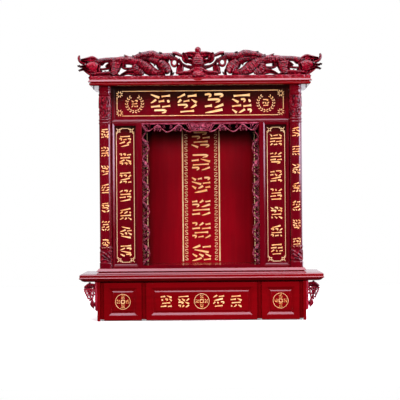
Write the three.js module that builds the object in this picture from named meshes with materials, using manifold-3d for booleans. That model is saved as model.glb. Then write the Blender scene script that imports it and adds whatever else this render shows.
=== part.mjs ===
// A household altar cabinet in red lacquered wood: a low case with three drawers under a moulded
// table top, and on it a shrine with a deep niche between round-fronted columns, a title board,
// a cornice and a pierced crest of two dragons. Millimetres, +Z up, the front faces -Y, and the
// origin is on the ground under the middle.
import * as THREE from 'three';
import { mergeVertices } from 'three/addons/utils/BufferGeometryUtils.js';
import Module from 'manifold-3d';

const wasm = await Module();
wasm.setup();

// Gaps
const joint = 0.3; // between pieces that touch
const trayPlay = 1.5; // beside a drawer's tray
const trayLift = 1; // under it
const trayHeadroom = 5; // over it

// Table top
const tableWidth = 1080;
const tableDepth = 400;
const tableThickness = 32;
const tableLip = 20; // its lowest moulding is this far behind its edge

// Case under the table
const caseSetIn = 78.5; // its side boards inside the table's ends
const caseHeight = 175;
const caseSetBack = 26; // side boards behind the table's front edge
const backSetIn = 10; // backs of case and shrine before the table's back edge
const sideThickness = 13;
const frameLift = 7; // the frame stands this far above the side boards' feet
const topRailHeight = 13;
const bottomThickness = 12;
const caseBackThickness = 12;
const stileDepth = 22;

// Drawers
const drawerFrontHeight = 166;
const drawerFrontThickness = 18;
const drawerFrontLift = 3;
const drawerFrontSetBack = 24; // behind the table's front edge
const centreDrawerShare = 0.532; // of the case's width
const drawerGap = 19.5; // between neighbouring fronts
const stileShown = 16.5; // of the frame beside the outer fronts
const drawerOverlay = 2.5; // of a front over the frame
const trayBehind = 36; // free behind the trays
const trayWall = 10;
const trayBottom = 6;
const trayBottomRaise = 4;
const drawerBorder = 21;
const drawerSlope = 13.5;
const drawerBevel = 8;
const drawerSink = 8; // depth of the groove round a drawer's field
const fieldSink = 3; // depth of the field

// Shrine
const shrineSetIn = 88; // its columns inside the table's ends
const shrineSetBack = 45; // the columns' fronts behind the table's front edge
const baseThickness = 26;
const baseProud = 12; // base moulding beyond the columns
const bodyHeight = 806; // from the base to the cornice
const columnWidth = 57;
const columnBulge = 24;
const columnDepth = 50;
const facePlane = 33; // face frames behind the columns' fronts
const frameThickness = 16;
const boardThickness = 10;
const boardLap = 6.5; // of a board behind its frame's stiles
const boardEdge = 1.5; // a board's ends inside its frame's
const nicheShare = 0.5775; // of the shrine's width
const titleHeight = 159.6;
const floorThickness = 10.5;
const wallThickness = 12;
const shrineSideSetIn = 5; // side panels inside the columns' outer edges
const shrineSideBorder = 45; // round the side panels' fields
const coupletOuterStile = 3.5;
const coupletInnerStile = 19.5;
const coupletSlope = 7.5; // of the sloping inner edges of its stiles
const coupletBottomRail = 4.5;
const coupletTopRail = 1;
const titleStile = 1;
const titleSlope = 12;
const titleBottomRail = 4.5;
const titleTopRail = 0.8;
const titleTopSlope = 7;
const railSlope = 11.3;

// Cornice and crest
const corniceHeight = 31;
const corniceOverhang = 42;
const pegRadius = 3.4;
const pegLength = 15;
const pegInset = 21;
const pegSetBack = 27;
const crestStripHeight = 12;
const crestStripDepth = 28;
const crestSetIn = 4; // crest strip behind the cornice's edge
const crestReachLeft = 530; // from the jewel to each dragon's outermost curl
const crestReachRight = 546;
const crestShift = -8; // the jewel stands left of the middle
const jewelRadius = 12.5;
const jewelHeight = 126; // its centre above the cornice

// Carving in the niche's mouth, and the brackets under the table
const carvingThickness = 12;
const carvingSetBack = 2; // behind the face frames' fronts
const valanceBar = 9;
const valanceSink = 4.4; // of its drawing under the top of the niche's mouth
const valanceDrop = 41;
const barRelief = 9.6; // the bar and the plaque are thinner than the carving round them
const plaqueRelief = 10.8;
const plaqueTop = 114;
const plaqueFoot = 84;
const plaqueHeight = 36;
const vinePitch = 94;
const vineWidth = 33;
const vineStem = 2.6;
const legWidth = 10;
const legDepth = 18;
const legHeight = 129;
const legRound = 8;
const bracketRelief = 13.5; // of the leaves and the cluster, on the leg's back plane
const grapePitch = 13; // along a row
const grapeShare = 0.577; // a grape's radius over that pitch
const clusterShare = 1.16; // half the cluster's width over it
const grapeRowPitch = 11.7; // from row to row

// Levels and planes worked out from the sizes
const caseWidth = tableWidth - 2 * caseSetIn;
const shrineWidth = tableWidth - 2 * shrineSetIn;
const centreDrawerWidth = caseWidth * centreDrawerShare;
const nicheWidth = shrineWidth * nicheShare;
const tableFront = -tableDepth / 2;
const tableTop = caseHeight + tableThickness;
const backFace = tableDepth / 2 - backSetIn;
const caseInner = caseWidth / 2 - sideThickness;
const drawerFace = tableFront + drawerFrontSetBack;
const caseFrameFace = drawerFace + drawerFrontThickness + joint;
const railTop = caseHeight - joint;
const railBottom = railTop - topRailHeight;
const bayFloor = frameLift + bottomThickness;
const trayLength = backFace - caseBackThickness - trayBehind - caseFrameFace;
const columnFront = tableFront + shrineSetBack;
const baseBottom = tableTop + joint;
const baseTop = baseBottom + baseThickness;
const bodyBottom = baseTop + joint;
const bodyTop = bodyBottom + bodyHeight;
const corniceBottom = bodyTop + joint;
const corniceTop = corniceBottom + corniceHeight;
const faceY = columnFront + facePlane;
const columnCentre = shrineWidth / 2 - columnWidth / 2;
const betweenColumns = shrineWidth / 2 - columnWidth - joint;
const titleBottom = bodyTop - titleHeight;
const nicheHalf = nicheWidth / 2;
const nicheFloor = bodyBottom + floorThickness;
const boardY = faceY + frameThickness + joint;
const behindBoards = boardY + boardThickness + joint;
const shrineBack = backFace - wallThickness;
const sideOuter = shrineWidth / 2 - shrineSideSetIn;
const grapeRadius = grapePitch * grapeShare;
const clusterHalf = grapePitch * clusterShare;

const lacquer = (color, roughness = 0.24) =>
  new THREE.MeshStandardMaterial({ color, roughness, metalness: 0 });
const caseRed = 0x8b0812;
const shrineRed = 0x740512;
const tableRed = 0x97060c;
const carvedRed = 0x86102a;
const innerRed = 0x5e0812;
const plainWood = 0x9c6a45;

const altar = new THREE.Group();

function add(name, geometry, color, roughness) {
  const mesh = new THREE.Mesh(geometry, lacquer(color, roughness));
  mesh.name = name;
  altar.add(mesh);
  return mesh;
}

// A straight board between two corners
function board(name, [x0, x1], [y0, y1], [z0, z1], color, roughness) {
  const geometry = new THREE.BoxGeometry(x1 - x0, y1 - y0, z1 - z0);
  geometry.translate((x0 + x1) / 2, (y0 + y1) / 2, (z0 + z1) / 2);
  return add(name, geometry, color, roughness);
}

// A closed body through rings of points, capped at both ends or joined end to start
function ringBody(rings, endless = false) {
  const count = rings[0].length;
  const positions = rings.flat().flatMap((p) => [p.x, p.y, p.z]);
  const index = [];
  const last = endless ? rings.length : rings.length - 1;
  for (let r = 0; r < last; r++) {
    const here = r * count;
    const next = ((r + 1) % rings.length) * count;
    for (let i = 0; i < count; i++) {
      const j = (i + 1) % count;
      index.push(here + i, here + j, next + j, here + i, next + j, next + i);
    }
  }
  if (!endless) {
    const end = (rings.length - 1) * count;
    for (let i = 1; i < count - 1; i++) {
      index.push(0, i + 1, i, end, end + i, end + i + 1);
    }
  }
  const geometry = new THREE.BufferGeometry();
  geometry.setAttribute('position', new THREE.Float32BufferAttribute(positions, 3));
  geometry.setIndex(index);
  return facingOut(geometry);
}

function facingOut(geometry) {
  const point = geometry.getAttribute('position');
  const index = geometry.getIndex().array;
  const [a, b, c] = [new THREE.Vector3(), new THREE.Vector3(), new THREE.Vector3()];
  let volume = 0;
  for (let i = 0; i < index.length; i += 3) {
    a.fromBufferAttribute(point, index[i]);
    b.fromBufferAttribute(point, index[i + 1]);
    c.fromBufferAttribute(point, index[i + 2]);
    volume += a.dot(b.cross(c));
  }
  if (volume < 0) {
    geometry.setIndex(Array.from(index).reverse());
  }
  return geometry;
}

// Four corners in the XZ plane, set in from the left, right, lower and upper edges
function rectangle(width, height, [left, right, lower, upper], y) {
  const [w, h] = [width / 2, height / 2];
  return [
    new THREE.Vector3(left - w, y, lower - h),
    new THREE.Vector3(w - right, y, lower - h),
    new THREE.Vector3(w - right, y, h - upper),
    new THREE.Vector3(left - w, y, h - upper),
  ];
}

// A board whose front, at y = 0, steps in and out round a middle field
function panelBoard(width, height, thickness, border, slope, bevel) {
  const ring = (inset, y) => rectangle(width, height, [inset, inset, inset, inset], y);
  return ringBody([
    ring(0, thickness),
    ring(0, 0),
    ring(border, 0),
    ring(border + slope, drawerSink),
    ring(border + slope + bevel, fieldSink),
  ]);
}

// A mitred frame round an opening, its front at y = 0: flat and slope give the widths of the flat
// part and of the sloping inner edge at the left, right, lower and upper side
function slopingFrame(width, height, flat, slope) {
  const none = [0, 0, 0, 0];
  return ringBody([
    rectangle(width, height, none, 0),
    rectangle(width, height, flat, 0),
    rectangle(width, height, flat.map((inset, i) => inset + slope[i]), frameThickness),
    rectangle(width, height, none, frameThickness),
  ], true);
}

// A slab with a moulding on its front and sides, as steps of set-in and height
function mouldedSlab(halfWidth, front, back, bottom, steps) {
  return ringBody(steps.map(([inset, height]) => [
    new THREE.Vector3(-halfWidth + inset, front + inset, bottom + height),
    new THREE.Vector3(halfWidth - inset, front + inset, bottom + height),
    new THREE.Vector3(halfWidth - inset, back, bottom + height),
    new THREE.Vector3(-halfWidth + inset, back, bottom + height),
  ]));
}

const roundSteps = (centre, radius, bulge, inset, count = 3) =>
  Array.from({ length: count + 1 }, (_, i) => {
    const angle = (i / count - 0.5) * Math.PI;
    return [inset - bulge * Math.cos(angle), centre + radius * Math.sin(angle)];
  });

// Joining and cutting
function solidOf(geometry) {
  const bare = geometry.clone();
  bare.deleteAttribute('normal');
  bare.deleteAttribute('uv');
  const merged = mergeVertices(bare, 1e-4);
  return new wasm.Manifold(new wasm.Mesh({
    numProp: 3,
    vertProperties: merged.getAttribute('position').array,
    triVerts: new Uint32Array(merged.getIndex().array),
  }));
}

function joined(geometries) {
  const whole = geometries.map(solidOf).reduce((all, piece) => all.add(piece));
  const { vertProperties, triVerts } = whole.getMesh();
  const geometry = new THREE.BufferGeometry();
  geometry.setAttribute('position', new THREE.BufferAttribute(vertProperties, 3));
  geometry.setIndex(Array.from(triVerts));
  return geometry;
}

// A carved stroke along points of [across, up, half width], flat behind and ridged in front, or
// with a flat top that is a share of its width. place puts a point of the flat drawing, with its
// height off the back plane, where it belongs.
function stroke(points, thickness, place, flat = 0) {
  const line = new THREE.CatmullRomCurve3(points.map(([a, b, w]) => new THREE.Vector3(a, b, w)));
  const count = points.length - 1;
  const step = 0.01;
  const rings = points.map(([across, up, half], i) => {
    const t = i / count;
    const along = line.getPoint(Math.min(1, t + step)).sub(line.getPoint(Math.max(0, t - step)));
    const normal = new THREE.Vector2(-along.y, along.x).normalize();
    const section = flat
      ? [[half, 0], [half * flat, thickness], [-half * flat, thickness], [-half, 0]]
      : [[half, 0], [0, thickness], [-half, 0]];
    return section.map(([side, d]) => place(across + normal.x * side, up + normal.y * side, d));
  });
  return ringBody(rings);
}

// A round boss in the same flat drawing, its middle a given height off the back plane
function boss(across, up, radius, middle, place) {
  const geometry = new THREE.SphereGeometry(radius, 5, 3);
  geometry.rotateX(Math.PI / 2);
  geometry.deleteAttribute('normal');
  geometry.deleteAttribute('uv');
  const point = geometry.getAttribute('position');
  for (let i = 0; i < point.count; i++) {
    const there = place(across + point.getX(i), up + point.getY(i), middle + point.getZ(i));
    point.setXYZ(i, there.x, there.y, there.z);
  }
  return facingOut(mergeVertices(geometry, 1e-4));
}

// Table top, its edge in three members, as steps of set-in and height
const tableEdge = [
  [tableLip, 0],
  [tableLip - 2, 1.5],
  [tableLip * 0.55, 4],
  [tableLip * 0.4, 9],
  [tableLip * 0.4, 11],
  ...roundSteps(tableThickness * 0.55, 6, 3, 6.5),
  [6.5, tableThickness - 8],
  [0, tableThickness - 7.5],
  [0, tableThickness - 1],
  [1, tableThickness],
];
add('table_top', mouldedSlab(tableWidth / 2, tableFront, tableDepth / 2, caseHeight, tableEdge),
  tableRed);

// Case
for (const [side, sign] of [['left', -1], ['right', 1]]) {
  const span = (a, b) => [Math.min(sign * a, sign * b), Math.max(sign * a, sign * b)];
  board(`${side}_case_side`, span(caseInner, caseWidth / 2), [tableFront + caseSetBack, backFace],
    [0, railTop], caseRed);
  board(`${side}_case_stile`, span(caseInner - stileShown - drawerOverlay, caseInner - joint),
    [caseFrameFace, caseFrameFace + stileDepth], [bayFloor + joint, railBottom - joint], caseRed);
  board(`${side}_case_divider`,
    span(centreDrawerWidth / 2 - drawerOverlay, centreDrawerWidth / 2 + drawerGap + drawerOverlay),
    [caseFrameFace, backFace - caseBackThickness - joint], [bayFloor + joint, railBottom - joint],
    caseRed);
}
const caseSpan = [-caseInner + joint, caseInner - joint];
board('case_top_rail', caseSpan, [caseFrameFace, backFace - caseBackThickness - joint],
  [railBottom, railTop], caseRed);
board('case_bottom', caseSpan, [caseFrameFace, backFace - caseBackThickness - joint],
  [frameLift, bayFloor], caseRed);
board('case_back', caseSpan, [backFace - caseBackThickness, backFace], [frameLift, railTop],
  innerRed, 0.5);

// Drawers: a fielded front over the frame, and a tray of four boards behind it
const sideDrawerInner = centreDrawerWidth / 2 + drawerGap;
const sideDrawerOuter = caseInner - stileShown;
const drawers = [
  ['left', -sideDrawerOuter, -sideDrawerInner],
  ['centre', -centreDrawerWidth / 2, centreDrawerWidth / 2],
  ['right', sideDrawerInner, sideDrawerOuter],
];
for (const [place, x0, x1] of drawers) {
  const front = add(`${place}_drawer_front`,
    panelBoard(x1 - x0, drawerFrontHeight, drawerFrontThickness, drawerBorder, drawerSlope,
      drawerBevel), caseRed, 0.2);
  front.position.set((x0 + x1) / 2, drawerFace, drawerFrontLift + drawerFrontHeight / 2);
  const [left, right] = [x0 + drawerOverlay + trayPlay, x1 - drawerOverlay - trayPlay];
  const [near, far] = [caseFrameFace, caseFrameFace + trayLength];
  const tall = [bayFloor + trayLift, railBottom - trayHeadroom];
  board(`${place}_drawer_left_side`, [left, left + trayWall], [near, far], tall, plainWood, 0.6);
  board(`${place}_drawer_right_side`, [right - trayWall, right], [near, far], tall, plainWood, 0.6);
  const inside = [left + trayWall + joint, right - trayWall - joint];
  board(`${place}_drawer_back`, inside, [far - trayWall, far], tall, plainWood, 0.6);
  board(`${place}_drawer_bottom`, inside, [near, far - trayWall - joint],
    [tall[0] + trayBottomRaise, tall[0] + trayBottomRaise + trayBottom], plainWood, 0.6);
}

// Grape brackets under the table's ends: a leg against the case, and a pierced cluster outside it.
// Their strokes are measured outwards from the leg and up from the table's underside, for a leg
// of bracketDrawn.
const bracketDrawn = 129;
const bracketStrokes = {
  stem: [[23, -2, 4.4], [25, -18, 5.7]],
  outerLeaf: [[20, -17, 5], [36, -20, 7], [49, -26, 1.8]],
  outerLobe: [[22, -32, 9], [48, -35, 1.8]],
  innerLeaf: [[26, -18, 5.3], [12, -15, 5.7], [-1, -23, 6.6]],
  innerCurl: [[4, -22, 4.4], [7, -33, 4], [18, -42, 6]],
  cluster: [[26, -24, clusterHalf * 0.53], [24, -44, clusterHalf], [18, -66, clusterHalf * 0.6],
    [11, -90, 4.8]],
  tie: [[22, -60, 4], [-1, -56, 4]],
  bud: [[12, -84, 5.3], [12, -99, 11.4], [7, -119, 1.3]],
  budLobe: [[6, -98, 9], [23, -99, 1.8]],
  budTie: [[14, -99, 8], [-1, -100, 9.7]],
};
const grapeRows = [3, 2, 2];
const grapeTop = -44;
const grapeMiddle = 25; // outwards, in the top row, and less in each row below
const grapeLean = 3.6;
const grapeMiddleOff = 8.4; // off the leg's back plane
for (const [side, sign] of [['left', -1], ['right', 1]]) {
  const legOuter = caseWidth / 2 + joint + legWidth;
  const backY = tableFront + caseSetBack + legDepth;
  const grow = legHeight / bracketDrawn;
  const at = (a, b, d) => new THREE.Vector3(sign * (legOuter + a), backY - d, railTop + b);
  const place = (a, b, d) => at(a * grow, b * grow, d);
  const leg = new THREE.Shape();
  leg.moveTo(-legWidth, 0);
  leg.lineTo(-legWidth, -legHeight);
  leg.lineTo(-legRound, -legHeight);
  leg.absarc(-legRound, -legHeight + legRound, legRound, -Math.PI / 2, 0, false);
  leg.lineTo(0, 0);
  const legBody = new THREE.ExtrudeGeometry(leg,
    { depth: legDepth, bevelEnabled: false, curveSegments: 3 });
  legBody.deleteAttribute('normal');
  legBody.deleteAttribute('uv');
  const point = legBody.getAttribute('position');
  for (let i = 0; i < point.count; i++) {
    const there = at(point.getX(i), point.getY(i), point.getZ(i));
    point.setXYZ(i, there.x, there.y, there.z);
  }
  const pieces = [facingOut(mergeVertices(legBody, 1e-4))];
  for (const points of Object.values(bracketStrokes)) {
    pieces.push(stroke(points, bracketRelief, place));
  }
  grapeRows.forEach((grapes, row) => {
    for (let i = 0; i < grapes; i++) {
      const across = grapeMiddle - row * grapeLean + (i - (grapes - 1) / 2) * grapePitch;
      pieces.push(boss(across, grapeTop - row * grapeRowPitch, grapeRadius, grapeMiddleOff, place));
    }
  });
  add(`${side}_grape_bracket`, joined(pieces), carvedRed, 0.28);
}

// Shrine base
const baseEdge = [
  [0, 0],
  [0, 2],
  [4, 4.5],
  [7, 9],
  [12, 12],
  [13, 14],
  ...roundSteps(baseThickness - 5.5, 5.2, 6, 11),
  [12, baseThickness],
];
add('shrine_base', mouldedSlab(shrineWidth / 2 + baseProud, columnFront - baseProud, backFace,
  baseBottom, baseEdge), tableRed);
board('shrine_floor', [-nicheHalf + joint, nicheHalf - joint], [behindBoards, shrineBack - joint],
  [bodyBottom, nicheFloor], innerRed, 0.35);
board('niche_sill', [-nicheHalf + joint, nicheHalf - joint], [faceY, behindBoards - joint],
  [bodyBottom, nicheFloor], shrineRed);

// Columns: a flattened half round that swells and narrows along its height, drawn for a column
// of columnDrawn as steps of height above the base and set-in from the widest rings
const columnDrawn = 806;
const columnRing = (height) => roundSteps(height, 4, 2, 2, 2).map(([inset, at]) => [at, inset]);
const columnRings = [
  [0, 0], [24, 0], [26, 2.4], [80, 2.4], [82, 0.8], [87, 0.8],
  ...columnRing(92),
  ...columnRing(642),
  ...columnRing(653),
  [684, 2], [690, 0.3], [703, 0.6], [706, 4.5], [734, 3.4], [761, 1.6],
  ...columnRing(766),
  [786, 1.4], [788, 0], [columnDrawn, 0],
];
const columnSides = 7;
function columnPoint(share, setIn) {
  const angle = share * Math.PI;
  const across = -Math.cos(angle) * (columnWidth / 2 - setIn);
  return [across, columnFront + columnBulge - Math.sin(angle) * (columnBulge - setIn)];
}
// Their carving, drawn across the front as a share of the half turn
const columnStrokes = {
  swag: [[0.16, 684, 1.5], [0.32, 670, 2.2], [0.5, 664, 2.6], [0.68, 670, 2.2], [0.84, 684, 1.5]],
  leafSpine: [[0.5, 708, 2.5], [0.5, 734, 6], [0.5, 758, 2]],
  leafLeft: [[0.42, 710, 2], [0.27, 740, 5], [0.24, 757, 1.5]],
  leafRight: [[0.58, 710, 2], [0.73, 740, 5], [0.76, 757, 1.5]],
  petalsUp: [[0.5, 30, 1], [0.5, 52, 5], [0.5, 74, 1]],
  petalsAcross: [[0.2, 52, 1], [0.5, 52, 7], [0.8, 52, 1]],
};
const columnSink = 5; // the carving's back is this deep under the widest rings
const halfTurn = columnWidth * 1.2; // measured round the front
const columnStretch = bodyHeight / columnDrawn;
for (const [side, sign] of [['left', -1], ['right', 1]]) {
  const rings = columnRings.map(([drawnHeight, setIn]) => {
    const height = drawnHeight * columnStretch;
    const arc = Array.from({ length: columnSides }, (_, i) => {
      const [x, y] = columnPoint(i / (columnSides - 1), setIn);
      return new THREE.Vector3(x, y, height);
    });
    const back = columnFront + columnDepth;
    const half = columnWidth / 2 - setIn;
    return [...arc, new THREE.Vector3(half, back, height), new THREE.Vector3(-half, back, height)];
  });
  const place = (a, b, d) => {
    const [x, y] = columnPoint(a / halfTurn, columnSink - d);
    return new THREE.Vector3(x, y, b * columnStretch);
  };
  const carved = Object.values(columnStrokes).map((points) =>
    stroke(points.map(([a, b, w]) => [a * halfTurn, b, w]), columnSink, place));
  const column = add(`${side}_column`, joined([ringBody(rings), ...carved]), shrineRed, 0.2);
  column.position.set(sign * columnCentre, 0, bodyBottom);
}

// Face frames with their boards
const coupletWidth = betweenColumns - nicheHalf - joint;
const coupletTop = titleBottom - joint;
const coupletHeight = coupletTop - bodyBottom;
for (const [side, sign] of [['left', -1], ['right', 1]]) {
  const span = (a, b) => [Math.min(sign * a, sign * b), Math.max(sign * a, sign * b)];
  const stiles = [coupletOuterStile, coupletInnerStile];
  const flat = [...(sign < 0 ? stiles : stiles.reverse()), coupletBottomRail, coupletTopRail];
  const frame = add(`${side}_couplet_frame`, slopingFrame(coupletWidth, coupletHeight,
    flat, [coupletSlope, coupletSlope, railSlope, railSlope]), shrineRed);
  frame.position.set(sign * (betweenColumns - coupletWidth / 2), faceY,
    bodyBottom + coupletHeight / 2);
  const boardOuter = betweenColumns - coupletOuterStile - coupletSlope + boardLap;
  const boardInner = nicheHalf + joint + coupletInnerStile + coupletSlope - boardLap;
  board(`${side}_couplet_board`, span(boardInner, boardOuter), [boardY, boardY + boardThickness],
    [bodyBottom + boardEdge, coupletTop - boardEdge], shrineRed);
  board(`${side}_niche_wall`, span(nicheHalf, nicheHalf + wallThickness),
    [behindBoards, shrineBack - joint], [bodyBottom, titleBottom], innerRed, 0.35);
}
const titleFrame = add('title_frame', slopingFrame(betweenColumns * 2, titleHeight,
  [titleStile, titleStile, titleBottomRail, titleTopRail],
  [titleSlope, titleSlope, railSlope, titleTopSlope]), shrineRed);
titleFrame.position.set(0, faceY, titleBottom + titleHeight / 2);
const titleBoardHalf = betweenColumns - titleStile - titleSlope + boardLap;
board('title_board', [-titleBoardHalf, titleBoardHalf], [boardY, boardY + boardThickness],
  [titleBottom + boardEdge, bodyTop - boardEdge], shrineRed);

// Shrine sides, back and the niche's ceiling
const sideDepth = shrineBack - joint - (columnFront + columnDepth + joint);
for (const [side, sign] of [['left', -1], ['right', 1]]) {
  const panel = add(`${side}_shrine_side`, panelBoard(sideDepth, bodyHeight, wallThickness,
    shrineSideBorder, drawerSlope, drawerBevel), shrineRed);
  panel.rotation.z = sign * Math.PI / 2;
  panel.position.set(sign * sideOuter, columnFront + columnDepth + joint + sideDepth / 2,
    bodyBottom + bodyHeight / 2);
}
board('shrine_back', [-sideOuter, sideOuter], [shrineBack, backFace], [bodyBottom, bodyTop],
  innerRed, 0.35);
board('niche_ceiling', [-nicheHalf - wallThickness, nicheHalf + wallThickness],
  [behindBoards, shrineBack - joint],
  [titleBottom + joint, titleBottom + joint + wallThickness], innerRed, 0.35);

// Pierced valance, drawn outwards from the middle and down from the top of the niche's mouth
const valanceStrokes = {
  wave: [[259, -6, 2.2], [246, -25, 2.2], [231, -32, 2.2], [213, -23, 2.2], [189, -7, 2.6],
    [169, -25, 2.2], [148, -39, 2.4], [122, -26, 2.2], [95, -6, 2.6], [74, -26, 2.2],
    [50, -38, 2.4], [40, -36, 2.4]],
  cornerBar: [[253, -5, 2], [234, -31, 2]],
  firstLeaf: [[193, -9, 3.5], [205, -24, 6.2], [210, -34, 2.2]],
  firstLobe: [[187, -9, 3.5], [178, -22, 4], [181, -35, 1.8]],
  secondLeaf: [[99, -9, 3.5], [111, -24, 6.2], [116, -34, 2.2]],
  secondLobe: [[93, -9, 3.5], [84, -22, 4], [87, -35, 1.8]],
  outerCurl: [[224, -3, 2.6], [228, -15, 2.6], [223, -30, 2.2]],
  middleCurl: [[156, -3, 3.1], [160, -15, 3.1], [152, -30, 1.8]],
  innerCurl: [[127, -3, 2.6], [139, -32, 2.2]],
  endBar: [[62, -3, 2.2], [42, -36, 2.2]],
};
const mouthTop = titleBottom - joint;
const carvingBack = faceY + carvingSetBack + carvingThickness;
function valanceBody() {
  const pieces = [];
  for (const sign of [-1, 1]) {
    const place = (a, b, d) =>
      new THREE.Vector3(sign * a, carvingBack - d, mouthTop - valanceSink + b);
    for (const points of Object.values(valanceStrokes)) {
      pieces.push(stroke(points, carvingThickness, place));
    }
  }
  const bar = new THREE.BoxGeometry(nicheWidth - 2 * joint, barRelief, valanceBar);
  bar.translate(0, carvingBack - barRelief / 2, mouthTop - valanceBar / 2);
  const plaque = new THREE.Shape();
  plaque.moveTo(-plaqueTop / 2, 0);
  plaque.lineTo(-plaqueFoot / 2, -plaqueHeight);
  plaque.lineTo(plaqueFoot / 2, -plaqueHeight);
  plaque.lineTo(plaqueTop / 2, 0);
  const plaqueBody = new THREE.ExtrudeGeometry(plaque, { depth: plaqueRelief, bevelEnabled: false });
  plaqueBody.rotateX(Math.PI / 2);
  plaqueBody.translate(0, carvingBack, mouthTop - valanceBar / 2);
  return joined([...pieces, bar, plaqueBody]);
}
add('valance', valanceBody(), carvedRed, 0.28);

// Vine fretwork down both sides of the niche's mouth: a waving stem with a broad leaf and a small
// one in each turn, drawn inwards from the jamb and up from the sill in shares of width and turn
const vineLeaves = {
  broad: [[0.12, 0.94, 4], [0.45, 0.77, 9], [0.82, 0.62, 4]],
  small: [[0.09, 0.47, 2], [0.42, 0.34, 5], [0.85, 0.4, 3]],
};
const vineFoot = 2; // of the stem over the sill
const vineTurns = (mouthTop - nicheFloor - valanceDrop) / vinePitch;
for (const [side, sign] of [['left', -1], ['right', 1]]) {
  const jamb = nicheHalf - joint;
  const place = (a, b, d) =>
    new THREE.Vector3(sign * (jamb - a), carvingBack - d, nicheFloor + joint + b);
  const stem = [];
  for (let quarter = 0; quarter <= Math.round(vineTurns * 4); quarter++) {
    const swing = (1 - Math.cos(quarter * Math.PI / 2)) / 2;
    const across = vineStem + swing * (vineWidth - 2 * vineStem);
    stem.push([across, vineFoot + quarter * vinePitch / 4, vineStem]);
  }
  const pieces = [stroke(stem, carvingThickness, place)];
  for (let turn = 0; turn < Math.floor(vineTurns); turn++) {
    for (const points of Object.values(vineLeaves)) {
      const leaf = points.map(([a, b, w]) => [a * vineWidth, (turn + b) * vinePitch, w]);
      pieces.push(stroke(leaf, carvingThickness, place));
    }
  }
  add(`${side}_vine_fretwork`, joined(pieces), carvedRed, 0.28);
}

// Cornice and the two pegs under its ends
const corniceEdge = [
  [24, 0],
  [14, 1],
  ...roundSteps(6.5, 4.6, 3, 9.5),
  [10, 12],
  ...roundSteps(21, 9.2, 6, 6, 5),
  [6.5, corniceHeight],
];
const corniceHalf = shrineWidth / 2 + corniceOverhang;
const corniceFront = columnFront - corniceOverhang;
add('cornice', mouldedSlab(corniceHalf, corniceFront, backFace, corniceBottom, corniceEdge),
  tableRed);
for (const [side, sign] of [['left', -1], ['right', 1]]) {
  const peg = add(`${side}_cornice_peg`, new THREE.LatheGeometry([
    new THREE.Vector2(0, -pegLength),
    new THREE.Vector2(pegRadius * 0.5, -pegLength),
    new THREE.Vector2(pegRadius, -pegLength * 0.55),
    new THREE.Vector2(pegRadius * 0.8, 0),
    new THREE.Vector2(0, 0),
  ], 6).rotateX(Math.PI / 2), innerRed, 0.4);
  peg.position.set(sign * (corniceHalf - pegInset - pegRadius), corniceFront + pegSetBack,
    corniceBottom - joint);
}

// Crest: two dragons facing outwards from a jewel over a bell of folds, pierced through.
// One half is drawn outwards from the jewel and up from the cornice's top.
const crestStrokes = {
  noseHorn: [[527, 106, 3], [530, 95, 5], [523, 80, 6.5], [501, 69, 9]],
  upperLip: [[519, 86, 3.4], [492, 88, 8], [469, 89, 11.5], [448, 84, 7]],
  cheek: [[494, 61, 11], [470, 56, 26], [448, 48, 24]],
  upperTongue: [[530, 62, 3], [522, 56, 4.6], [496, 58, 6.5]],
  lowerTongue: [[527, 40, 3.4], [516, 43, 4.6], [494, 50, 6.5]],
  jaw: [[507, 43, 5], [491, 34, 8.5], [466, 24, 14]],
  neckTop: [[457, 79, 8.8], [433, 77, 13], [408, 84, 9.6], [352, 83, 12.3]],
  eyeCurl: [[451, 73, 8.8], [443, 62, 9.5], [447, 45, 9.5], [444, 23, 14]],
  whisker: [[448, 43, 5], [412, 45.5, 4.6], [378, 53, 7.5]],
  frontWave: [[473, 15, 10], [430, 19, 11], [382, 19, 12.3], [347, 10, 6]],
  foreleg: [[366, 74, 29], [369, 47, 19], [379, 20, 15]],
  body: [[378, 78, 7.9], [347, 80, 16], [312, 82, 15.5], [281, 78, 17.5], [255, 68, 20.5],
    [228, 48, 23], [202, 31, 18], [176, 23, 15], [149, 30, 19]],
  backFin: [[286, 92, 7.9], [259, 102, 10.6], [228, 106, 13.2], [202, 107, 15], [176, 98, 14],
    [145, 97, 14], [114, 100, 12]],
  firstSpike: [[329, 107, 1.8], [304, 92, 7]],
  secondSpike: [[292, 104, 1.8], [272, 94, 8]],
  thirdSpike: [[196, 124, 1.8], [203, 110, 8]],
  clawBeam: [[337, 61, 11], [322, 46, 5.5], [272, 44, 9]],
  thigh: [[281, 64, 12], [272, 40, 19], [257, 28, 19.5], [245, 19, 10]],
  hindLeg: [[347, 12, 5], [329, 22.5, 6.5], [308, 29, 9.2], [278, 28, 14]],
  haunch: [[170, 76, 17], [154, 57, 22.5], [138, 38, 19], [129, 26, 11]],
  haunchEdge: [[150, 74, 4], [134, 56, 5], [119, 33, 5], [119, 9, 6]],
  tail: [[125, 90, 11], [101, 89, 6.8], [84, 76, 6], [61, 58, 5.5], [35, 50, 7.2], [4, 49, 10]],
  strand: [[87, 86, 5], [74, 63, 7], [79, 42, 12.5], [82, 17, 14]],
  topFlame: [[114, 113, 5.5], [96, 111, 6.8], [74, 102, 6], [55, 101, 8]],
  hangingFlame: [[68, 113, 3.4], [60, 104, 9], [57, 88, 12.5], [48, 75, 9.5]],
  innerFlame: [[55, 106, 8], [35, 108, 9.5], [10, 103, 13.5]],
  lowerFlame: [[52, 77, 6], [33, 75, 9.5], [10, 71, 13.5]],
  cloud: [[88, 15, 11.4], [61, 18, 13], [35, 19.5, 15.5], [0, 32, 22]],
  finRoot: [[252, 90, 7], [224, 87, 9], [200, 83, 13], [177, 75, 15]],
};
const crestDrawnReach = 533; // outermost point of the drawing above
const crestDrawnHeight = 126; // the jewel's middle over it
const crestRing = { across: 105, up: 71, radius: 13.2, tube: 5.2, tall: 1.2, deep: 1.3,
  off: 5.5 };
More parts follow.
